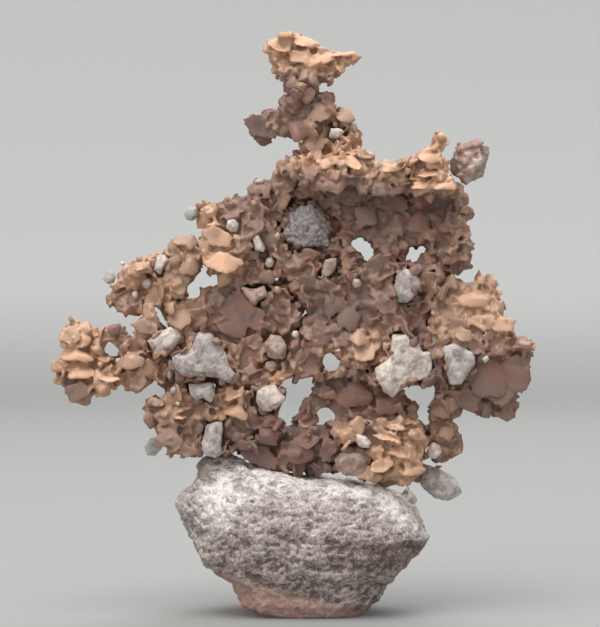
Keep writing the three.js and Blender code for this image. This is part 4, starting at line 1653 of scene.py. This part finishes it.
@dataclass
class Rock:
    """Granular matrix, roughened from its CAD solid."""

    node: str
    finish: RockFinish
    voxel: float = 0.17 * MM
    lump: float = 3.6 * MM  # size of its lumps
    lumps: float = 0.45 * MM  # how far the lumps stand out
    ridge: float = 1.9 * MM  # distance between its ridges
    ridges: float = 0.14 * MM  # how far the ridges stand out
    grain: float = 0.6 * MM  # size of its grains
    grains: float = 0.14 * MM  # how far the grains stand out
    swell: float = 0.0  # how far the whole surface is grown out
    flat: float = 0.4 * MM  # below this height the cut stays flat
    tone: float = 0.5
    patches: tuple[Patch, ...] = ()
    chunks: tuple[Chunk, ...] = ()

    def with_chunks(self, kit: CrystalKit) -> Parts:
        """The CAD solid together with the lumps added to it.

        Args:
            kit: The crystals' shapes.

        Returns:
            The overlapping solids.
        """
        corners, triangles = node_arrays(self.node)
        low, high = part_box(self.node)
        even = np.zeros(len(corners))
        several = [Parts(corners, triangles, even, even)]
        for number, chunk in enumerate(self.chunks):
            corners, triangles = kit.shapes[Habit.SPINEL][number]
            middle = low + Vector(a * b for a, b in zip(chunk.place, high - low))
            even = np.zeros(len(corners))
            placed = corners * np.array(chunk.half) * MM + np.array(middle)
            several.append(Parts(placed, triangles, even, even))
        return Parts.joined(several)

    def build(self, kit: CrystalKit) -> bpy.types.Object:
        """Makes the piece, which stands for the rock's CAD solid.

        Args:
            kit: The crystals' shapes.

        Returns:
            The finished piece.
        """
        rough = self.with_chunks(kit)
        corners, triangles = fine_skin(rough.corners, rough.triangles, self.voxel)
        normals = surface_normals(corners, triangles)
        lumps = noise_at(corners, self.lump, 3)
        bent = corners * (1.0, 1.0, 1.5) + (0.6 * MM * lumps)[:, None]  # the grain lies level
        ridges = 0.5 - 2.0 * np.abs(noise_at(bent, self.ridge, 4, 5.0))
        grit = noise_at(bent, self.grain, 4, 3.0)
        pits = np.minimum(noise_at(corners, self.grain * 2.4, 2, 9.0) + 0.3, 0)
        out = self.swell + self.lumps * lumps + self.ridges * ridges
        out = out + self.grains * (grit + 1.6 * pits)
        free = np.clip(corners[:, 2] / self.flat, 0, 1)
        corners = corners + normals * (out * free)[:, None]
        lift = relief(corners, triangles, 0.08 * MM)
        tone, _ = patched(self.node, corners, self.tone, self.patches)
        piece = Parts(corners, triangles, tone, lift).to_object(f"{self.node}_stone", True)
        self.finish.dress(piece)
        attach(piece, BODY)
        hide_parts(self.node)
        return piece


# --------------------------------------------------------------------------------------------------
# Studio


@dataclass(frozen=True)
class Lamp:
    """One square softbox, which faces the specimen's middle."""

    name: str
    place: tuple[float, float, float]  # metres
    size: float  # length of its sides in metres
    power: float  # watts


@dataclass
class Studio:
    """Pale paper swept up all round, soft light from above, and the camera level with the specimen."""

    paper: PaperFinish = PaperFinish()
    floor: float = 0.5  # radius of the flat floor
    sweep: float = 0.35  # radius of the sweep up to the wall
    wall: float = 1.1  # height of the wall
    sky: float = 1.5  # strength of the even light from all round
    lamps: tuple[Lamp, ...] = (
        Lamp("key", (-0.12, -0.24, 0.60), 0.45, 2.75),
        Lamp("rim", (0.16, 0.30, 0.55), 0.4, 1.6),
        Lamp("fill", (-0.35, -0.60, 0.20), 0.5, 1.6),
    )
    lens: float = 120.0
    picture_share: float = 1.082  # the picture's height as a share of the specimen's
    aim_share: float = 0.515  # where the camera aims, as a share of the specimen's height

    def build(self) -> None:
        """Makes the backdrop, the lights and the camera."""
        self.backdrop()
        for lamp in self.lamps:
            self.hang(lamp)
        world = bpy.data.worlds.new("studio")
        bpy.context.scene.world = world
        world.use_nodes = True
        background = world.node_tree.nodes["Background"]
        background.inputs["Color"].default_value = (0.97, 0.985, 1.0, 1.0)
        background.inputs["Strength"].default_value = self.sky
        bpy.context.scene.view_settings.view_transform = "Standard"
        self.camera()

    def backdrop(self) -> bpy.types.Object:
        """The paper: a floor, a quarter-round sweep and a wall, turned round the specimen.

        Returns:
            The paper, linked to the scene.
        """
        bend = [math.radians(angle) for angle in range(0, 91, 6)]
        profile = [(0.0, 0.0), (self.floor * 0.5, 0.0)]
        for angle in bend:
            rise = self.sweep * (1 - math.cos(angle))
            profile.append((self.floor + self.sweep * math.sin(angle), rise))
        profile.append((self.floor + self.sweep, self.wall))
        shape = bmesh.new()
        verts = [shape.verts.new((radius, 0, height)) for radius, height in profile]
        edges = [shape.edges.new(pair) for pair in zip(verts, verts[1:])]
        bmesh.ops.spin(
            shape, geom=verts + edges, axis=(0, 0, 1), cent=(0, 0, 0), steps=96, angle=2 * math.pi,
            use_merge=True, use_duplicate=False,
        )
        bmesh.ops.remove_doubles(shape, verts=shape.verts, dist=0.01 * MM)
        bmesh.ops.recalc_face_normals(shape, faces=shape.faces)
        mesh = bpy.data.meshes.new("paper_sweep")
        shape.to_mesh(mesh)
        shape.free()
        mesh.polygons.foreach_set("use_smooth", [True] * len(mesh.polygons))
        sweep = bpy.data.objects.new("paper_sweep", mesh)
        bpy.context.scene.collection.objects.link(sweep)
        sweep.data.materials.append(self.paper.material())
        return sweep

    @staticmethod
    def hang(lamp: Lamp) -> None:
        """Hangs one lamp.

        Args:
            lamp: The lamp.
        """
        data = bpy.data.lights.new(lamp.name, "AREA")
        data.size = lamp.size
        data.energy = lamp.power
        holder = bpy.data.objects.new(lamp.name, data)
        holder.location = lamp.place
        aim = (CAD_BOX[0] + CAD_BOX[1]) / 2 - Vector(lamp.place)
        holder.rotation_euler = aim.to_track_quat("-Z", "Y").to_euler()
        bpy.context.scene.collection.objects.link(holder)

    def camera(self) -> None:
        """Looks level along +Y, with the specimen filling the picture."""
        low, high = CAD_BOX
        height = high.z - low.z
        data = bpy.data.cameras.new("camera")
        data.lens = self.lens
        data.clip_start = 0.01
        data.clip_end = 10.0
        distance = height * self.picture_share * self.lens / data.sensor_width
        holder = bpy.data.objects.new("camera", data)
        holder.location = (0.0, -distance, low.z + self.aim_share * height)
        holder.rotation_euler = (math.pi / 2, 0.0, 0.0)
        bpy.context.scene.collection.objects.link(holder)
        bpy.context.scene.camera = holder


# --------------------------------------------------------------------------------------------------
# The specimen

GOLDEN = CopperFinish("copper_golden")
BROWN = CopperFinish("copper_brown")
TARNISHED = CopperFinish("copper_tarnished")
COATED = CopperFinish(
    "calcite_grey", deep="7a5f50", purple="93786a", brown="a38c80", tan="b5a298", gold="cbbdb4",
    red="a07e6c",
)

# Each branch's tone, patches and leaves give its tarnish and bright wear together with painted light and
# shade: golden where faces turn up to the light, dark under overhangs and where faces turn down.
BRANCHES = (
    CopperBranch("copper_crown", GOLDEN, 0.75, (
        Patch(0.40, 0.75, 0.70, 0.40, 0.95),
        Patch(0.25, 0.05, 0.30, 0.25, 0.25),
    ), (
        Leaf(0.15, 0.74, 1.3, 0.9, 0.95, lean=35),
        Leaf(0.42, 0.79, 1.4, 0.8, 1.0, lean=40),
        Leaf(0.36, 0.54, 1.3, 0.8, 0.8, lean=20),
        Leaf(0.84, 0.59, 1.3, 0.4, 1.0, spin=3, lean=50),
        Leaf(0.63, 0.50, 1.0, 0.6, 0.9),
    )),
    CopperBranch("copper_trunk", BROWN, 0.5, (
        Patch(0.20, 0.95, 0.30, 0.25, 0.2),
        Patch(0.55, 0.05, 0.30, 0.15, 0.9),
        Patch(0.85, 0.20, 0.20, 0.15, 0.85),
    ), (
        Leaf(0.68, 0.63, 1.0, 0.9, 0.6, lean=30),
        Leaf(0.74, 0.10, 1.4, 0.6, 1.0, lean=50),
        Leaf(0.59, 0.02, 1.0, 0.5, 1.0, lean=45),
        Leaf(0.37, 0.68, 1.1, 1.1, 0.45),
        Leaf(0.31, 0.23, 1.1, 1.2, 0.5),
    )),
    CopperBranch("copper_spur", BROWN, 0.3, (
        Patch(0.15, 0.25, 0.25, 0.30, 0.1, 0.8),
    ), (
        Leaf(0.27, 0.30, 1.7, 1.1, 0.15, lean=-5),
        Leaf(0.71, 0.86, 0.7, 0.7, 0.35),
    )),
    CopperBranch("copper_knob", GOLDEN, 0.85, (), (
        Leaf(0.40, 0.50, 1.2, 0.9, 1.0, lean=35),
        Leaf(0.72, 0.88, 0.6, 0.5, 0.95, habit=Habit.SPINEL),
        Leaf(0.77, 0.40, 0.9, 0.8, 0.9, lean=30),
        Leaf(0.40, 0.15, 1.2, 0.5, 0.95, lean=50),
    )),
    CopperBranch("copper_upper_body", TARNISHED, 0.35, (
        Patch(0.515, 0.91, 0.19, 0.08, 0.95),
        Patch(0.72, 0.83, 0.10, 0.07, 0.85),
        Patch(0.86, 0.74, 0.12, 0.08, 0.95),
        Patch(0.64, 0.53, 0.30, 0.18, 0.12, 0.75),
        Patch(0.18, 0.54, 0.16, 0.20, 0.38),
        Patch(0.04, 0.48, 0.05, 0.10, 1.0),
        Patch(0.08, 0.20, 0.08, 0.17, 1.0, 0.9),
        Patch(0.94, 0.30, 0.08, 0.30, 0.5),
    ), (
        Leaf(0.075, 0.33, 1.6, 1.0, 0.85, lean=8, out=0.8),
        Leaf(0.095, 0.13, 1.9, 1.1, 1.1, spin=10, lean=22, out=0.9),
        Leaf(0.79, 0.72, 1.2, 0.6, 0.85, spin=10, lean=35, out=0.6),
        Leaf(0.87, 0.71, 1.2, 0.6, 0.9, spin=-15, lean=40, out=0.7),
        Leaf(0.47, 0.91, 1.3, 0.7, 0.9, spin=12, lean=35, out=0.6),
        Leaf(0.55, 0.90, 1.3, 0.7, 0.95, spin=-20, lean=40, out=0.6),
        Leaf(0.68, 0.85, 1.1, 0.6, 0.8, spin=15, lean=35, out=0.5),
        Leaf(0.035, 0.54, 0.5, 0.5, 1.0, habit=Habit.SPINEL),
        Leaf(0.057, 0.43, 0.7, 0.35, 1.0, lean=45),
        Leaf(0.955, 0.55, 0.7, 0.5, 0.5, spin=10),
        Leaf(0.955, 0.36, 0.7, 0.5, 0.5),
        Leaf(0.945, 0.18, 0.7, 0.5, 0.5, spin=-15),
        Leaf(0.70, 0.60, 1.5, 1.1, 0.1, lean=0, out=0.3),
        Leaf(0.60, 0.50, 1.2, 1.2, 0.15, spin=30, lean=10, out=0.3),
        Leaf(0.545, 0.65, 1.3, 1.0, 0.1, spin=-20, lean=5, out=0.3),
        Leaf(0.79, 0.45, 1.1, 1.3, 0.12, spin=20, lean=10, out=0.3),
    )),
    CopperBranch("copper_left_body", BROWN, 0.5, (
        Patch(0.54, 0.68, 0.20, 0.30, 0.12, 0.9),
        Patch(0.19, 0.75, 0.17, 0.20, 0.65),
        Patch(0.62, 0.30, 0.20, 0.20, 0.6),
        Patch(0.83, 0.10, 0.08, 0.08, 1.0),
        Patch(0.87, 0.70, 0.10, 0.25, 0.4),
    ), (
        Leaf(0.54, 0.76, 1.6, 1.6, 0.05, spin=25, lean=5, out=0.4),
        Leaf(0.50, 0.60, 1.7, 1.5, 0.08, spin=-30, lean=10, out=0.4),
        Leaf(0.60, 0.68, 1.4, 1.9, 0.08, spin=60, lean=0, out=0.4),
        Leaf(0.83, 0.10, 0.65, 0.65, 1.05, habit=Habit.SPINEL),
        Leaf(0.13, 0.65, 1.2, 1.3, 0.6, lean=25),
        Leaf(0.29, 0.45, 0.8, 0.8, 0.6),
        Leaf(0.80, 0.38, 0.8, 0.7, 0.7, lean=35),
    )),
    CopperBranch("copper_right_body", TARNISHED, 0.4, (
        Patch(0.365, 0.57, 0.22, 0.20, 0.12, 0.7),
        Patch(0.56, 0.29, 0.15, 0.17, 0.75),
        Patch(0.33, 0.28, 0.06, 0.06, 1.0),
        Patch(0.91, 0.53, 0.10, 0.20, 0.25),
    ), (
        Leaf(0.52, 0.30, 1.3, 1.5, 0.75, lean=25),
        Leaf(0.48, 0.38, 1.0, 0.9, 0.75, lean=30),
        Leaf(0.35, 0.29, 0.5, 0.3, 1.1, lean=45),
        Leaf(0.33, 0.62, 1.3, 1.1, 0.1, spin=20, lean=5, out=0.3),
        Leaf(0.42, 0.52, 1.2, 1.2, 0.1, spin=-40, lean=10, out=0.3),
        Leaf(0.66, 0.62, 1.0, 1.1, 0.2, spin=50, lean=10, out=0.4),
    )),
    CopperBranch("copper_upper_arm", BROWN, 0.7, (
        Patch(0.22, 0.15, 0.30, 0.20, 0.45),
        Patch(0.94, 0.60, 0.12, 0.40, 0.3),
        Patch(0.60, 0.85, 0.40, 0.20, 0.75),
    ), (
        Leaf(0.79, 0.93, 0.9, 0.6, 0.65, lean=40),
        Leaf(0.90, 0.64, 1.0, 1.5, 0.5, lean=20),
        Leaf(0.28, 0.22, 1.5, 1.0, 0.6, lean=15),
        Leaf(0.53, 0.22, 1.0, 0.8, 0.55, lean=20),
        Leaf(0.40, 0.62, 0.9, 0.7, 0.75, lean=45),
        Leaf(0.79, 0.40, 1.0, 1.2, 0.6, lean=20),
    )),
    CopperBranch("copper_lower_arm", BROWN, 0.7, (
        Patch(0.20, 0.60, 0.25, 0.30, 0.88),
        Patch(0.17, 0.10, 0.15, 0.15, 0.3, 0.8),
        Patch(0.61, 0.33, 0.20, 0.12, 0.85),
        Patch(0.55, 0.88, 0.10, 0.12, 0.25),
    ), (
        Leaf(0.25, 0.50, 1.7, 0.8, 1.0, spin=15, lean=35, out=0.7),
        Leaf(0.28, 0.33, 1.4, 0.8, 1.05, spin=20, lean=35, out=0.7),
        Leaf(0.19, 0.71, 1.1, 1.0, 0.6),
        Leaf(0.30, 0.66, 0.8, 0.9, 0.9),
        Leaf(0.25, 0.14, 1.35, 1.0, 0.35, lean=-5),
        Leaf(0.56, 0.76, 0.7, 0.75, 0.3, habit=Habit.SPINEL),
        Leaf(0.83, 0.79, 1.4, 0.7, 0.4, lean=10),
        Leaf(0.54, 0.27, 1.1, 0.5, 0.95, lean=45),
        Leaf(0.72, 0.45, 1.2, 1.0, 0.55),
        Leaf(0.76, 0.22, 0.9, 0.8, 0.5),
    )),
    CopperBranch("copper_lobe", BROWN, 0.5, (
        Patch(0.62, 0.88, 0.12, 0.10, 1.0),
        Patch(0.64, 0.65, 0.10, 0.10, 0.95),
        Patch(0.26, 0.60, 0.05, 0.06, 1.0),
        Patch(0.23, 0.35, 0.20, 0.30, 0.45),
        Patch(0.80, 0.45, 0.20, 0.40, 0.2, 0.5),
    ), (
        Leaf(0.11, 0.79, 0.9, 0.55, 0.6, lean=30),
        Leaf(0.19, 0.30, 1.3, 1.1, 0.4, lean=15),
        Leaf(0.32, 0.10, 1.2, 0.6, 0.35, lean=10),
        Leaf(0.275, 0.57, 0.65, 0.35, 1.15, lean=50, out=0.8),
        Leaf(0.64, 0.88, 1.3, 0.5, 1.1, spin=5, lean=30, out=0.7),
        Leaf(0.65, 0.64, 1.3, 0.8, 0.95, lean=30, out=0.7),
        Leaf(0.54, 0.97, 0.4, 0.25, 1.0, lean=45),
        Leaf(0.87, 0.37, 1.3, 1.4, 0.15, lean=0),
    )),
    CopperBranch("copper_foot", TARNISHED, 0.15, (
        Patch(0.50, 0.45, 0.50, 0.40, 0.15, 0.7),
    ), (
        Leaf(0.39, 0.34, 2.0, 1.2, 0.15, lean=0),
        Leaf(0.73, 0.44, 1.4, 1.4, 0.12, lean=0),
    )),
    CopperBranch("copper_cluster", GOLDEN, 0.5, (
        Patch(0.765, 0.27, 0.25, 0.28, 0.85),
        Patch(0.40, 0.43, 0.10, 0.09, 0.95),
        Patch(0.45, 0.78, 0.35, 0.20, 0.2, 0.5),
        Patch(0.27, 0.25, 0.15, 0.20, 0.2, 0.5),
    ), (
        Leaf(0.39, 0.43, 0.85, 0.85, 1.0, lean=20, habit=Habit.SPINEL),
        Leaf(0.68, 0.42, 1.4, 0.6, 0.9, lean=50),
        Leaf(0.79, 0.29, 1.5, 0.7, 0.85, lean=40),
        Leaf(0.86, 0.14, 1.2, 0.7, 0.75, lean=35),
        Leaf(0.64, 0.18, 1.3, 0.8, 0.8, lean=30),
        Leaf(0.89, 0.44, 0.9, 0.7, 0.8, lean=35),
        Leaf(0.75, 0.50, 1.0, 0.5, 0.9, lean=50),
        Leaf(0.46, 0.76, 1.8, 1.4, 0.15, lean=0),
        Leaf(0.68, 0.67, 1.2, 1.0, 0.3, lean=10),
        Leaf(0.28, 0.29, 1.2, 1.3, 0.15, lean=0),
    )),
    CopperBranch("copper_fan", TARNISHED, 0.45, (
        Patch(0.56, 0.72, 0.40, 0.25, 0.75),
        Patch(0.56, 0.22, 0.45, 0.25, 0.12, 0.9),
    ), (
        Leaf(0.51, 0.96, 0.5, 0.6, 0.75),
        Leaf(0.67, 0.87, 0.6, 0.5, 0.75),
        Leaf(0.42, 0.82, 1.6, 0.9, 0.8, lean=30),
        Leaf(0.51, 0.68, 1.6, 0.8, 0.8, lean=35),
        Leaf(0.70, 0.65, 1.2, 0.9, 0.75, lean=30),
        Leaf(0.32, 0.58, 1.0, 0.8, 0.55),
        Leaf(0.88, 0.51, 0.9, 0.5, 0.7, lean=40),
        Leaf(0.56, 0.28, 1.9, 2.0, 0.12, spin=15, lean=3, out=0.5),
        Leaf(0.66, 0.24, 2.0, 2.1, 0.15, spin=-50, lean=6, out=0.5),
        Leaf(0.83, 0.30, 1.3, 1.8, 0.2, lean=0),
        Leaf(0.38, 0.14, 1.4, 1.2, 0.15, lean=0),
    )),
    CopperBranch("calcite_coated_knob", COATED, 0.6, (
        Patch(0.10, 0.20, 0.25, 0.35, 0.3),
        Patch(0.60, 0.95, 0.30, 0.15, 0.3),
    ), layers=CRUST),
    CopperBranch("copper_strip", BROWN, 0.5, (), (
        Leaf(0.43, 0.74, 1.0, 1.0, 0.4),
        Leaf(0.57, 0.45, 0.9, 0.8, 0.5),
        Leaf(0.93, 0.21, 0.4, 0.5, 0.6),
    )),
)

WHITE = CalciteFinish("calcite_white", "white_calcite", pale="dcd0c8", shade="b3a298", dirt_and_hollows="92796b")
GREY = CalciteFinish("calcite_grey", "grey_calcite", pale="c4bab5", shade="968a85", dirt_and_hollows="776560")
WARM = CalciteFinish("calcite_grey", "warm_calcite", pale="bfa899", shade="96796b", dirt_and_hollows="6f584b")
GLASSY = CalciteFinish("calcite_white", "clear_calcite", pale="dcdad8", shade="bcb8b4", clear=0.35)

CHIPS = (
    CalciteChip("calcite_big_grey", GREY),
    CalciteChip("calcite_large_white", WHITE),
    CalciteChip("calcite_left_white", WHITE),
    CalciteChip("calcite_right_grey", GREY),
    CalciteChip("calcite_lower_grey", GREY),
    CalciteChip("calcite_lobe_white", GREY),
    CalciteChip("calcite_mid_white", WHITE),
    CalciteChip("calcite_brown_round", WARM),
    CalciteChip("calcite_hexagonal", GREY),
    CalciteChip("calcite_foot_round", WARM),
    CalciteChip("calcite_long_grey", GREY),
    CalciteChip("calcite_arm_white", WHITE),
    CalciteChip("calcite_shoulder_pale", WHITE),
    CalciteChip("calcite_mid_pale", WARM),
    CalciteChip("calcite_upper_grey", WARM),
    CalciteChip("calcite_trunk_white", WHITE),
    CalciteChip("calcite_left_tip", GLASSY, cuts=3),
    CalciteChip("calcite_arm_small", WHITE, cuts=3),
    CalciteChip("calcite_arm_low", WHITE, cuts=3),
    CalciteChip("calcite_lower_arm_small", WHITE, cuts=3),
    CalciteChip("calcite_shoulder_clear", GLASSY, cuts=3),
    CalciteChip("calcite_shoulder_round", WHITE, cuts=2),
    CalciteChip("calcite_shoulder_small", WHITE, cuts=3),
    CalciteChip("calcite_mid_bead", WHITE, cuts=2),
    CalciteChip("calcite_mid_round", WARM, cuts=2),
    CalciteChip("calcite_brown_small", WARM, cuts=3),
    CalciteChip("calcite_cluster_white", WHITE, cuts=3),
    CalciteChip("calcite_strip_white", WHITE, cuts=3),
    CalciteChip("calcite_lobe_clear", GLASSY, cuts=3),
)

GRAINS = (
    Grains("white_grains", WHITE, (
        Grain("copper_fan", 0.37, 0.29, 0.28, 0.28),
        Grain("copper_upper_arm", 0.20, 0.66, 0.35, 0.3),
        Grain("copper_lobe", 0.255, 0.765, 0.35, 0.25),
        Grain("copper_upper_body", 0.286, 0.34, 0.28, 0.5),
        Grain("copper_fan", 0.53, 0.42, 0.4, 0.5),
    )),
    Grains("grey_grains", GREY, (
        Grain("copper_upper_body", 0.22, 0.77, 0.6, 0.35),
        Grain("copper_lobe", 0.227, 0.95, 0.4, 0.5),
        Grain("copper_left_body", 0.07, 0.14, 0.5, 0.8, out=0.2),
        Grain("copper_right_body", 0.855, 0.88, 0.6, 0.55),
        Grain("copper_right_body", 0.868, 0.71, 0.5, 0.45),
    )),
)

MATRIX = RockFinish("matrix_rock", "granular_matrix")
CAUGHT = RockFinish(
    "matrix_rock", "caught_matrix", dark="736a67", brown="8f8684", grey="a8a09e", pale="bdb7b5",
    dust="cfc9c6", foot_top=0.1 * MM,
)

# The rock's patches give its grey and white dust together with painted light along its top and painted
# shade low down and on its lower right.
ROCKS = (
    Rock("matrix_rock", MATRIX, tone=0.48, patches=(
        Patch(0.19, 0.76, 0.07, 0.16, 0.95),
        Patch(0.34, 0.86, 0.10, 0.06, 0.8),
        Patch(0.54, 0.81, 0.12, 0.06, 0.7),
        Patch(0.74, 0.79, 0.12, 0.06, 0.85),
        Patch(0.89, 0.69, 0.08, 0.09, 1.0),
        Patch(0.94, 0.55, 0.06, 0.08, 0.7),
        Patch(0.14, 0.92, 0.08, 0.06, 0.2),
        Patch(0.06, 0.55, 0.05, 0.15, 0.4),
        Patch(0.45, 0.62, 0.28, 0.12, 0.4),
        Patch(0.30, 0.40, 0.22, 0.12, 0.25),
        Patch(0.80, 0.42, 0.17, 0.11, 0.0),
        Patch(0.45, 0.12, 0.40, 0.12, 0.25),
    ), chunks=(
        Chunk((0.56, 0.25, 0.22), (3.2, 2.2, 2.2)),
        Chunk((0.70, 0.40, 0.20), (2.6, 3.0, 2.4)),
        Chunk((0.93, 0.60, 0.71), (1.1, 1.0, 1.4)),
    )),
    Rock(
        "matrix_inclusion", CAUGHT, voxel=0.12 * MM, lumps=0.25 * MM, tone=0.4, swell=0.15 * MM,
        ridges=0.15 * MM,
    ),
)


def log(piece: bpy.types.Object) -> None:
    """Logs one finished piece."""
    LOG.info("%s: %d faces", piece.name, len(piece.data.polygons))


def main() -> None:
    """Builds every piece in order."""
    logging.basicConfig(level=logging.INFO, format="%(message)s")
    chips = tuple(chip.node for chip in CHIPS)
    copper = tuple(branch for branch in BRANCHES if branch.node.startswith("copper"))
    cover = Cover(list(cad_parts), chips)
    kit = CrystalKit(seed=5)
    for branch in BRANCHES:
        log(branch.build(kit, cover))
    for chip in CHIPS:
        log(chip.build())
    for rock in ROCKS:
        log(rock.build(kit))
    for grains in GRAINS:
        log(grains.build(kit, cover))
    log(Claws((*chips, "matrix_inclusion"), copper, BROWN).build(kit, cover))
    Studio().build()


if __name__ == "__main__":
    main()
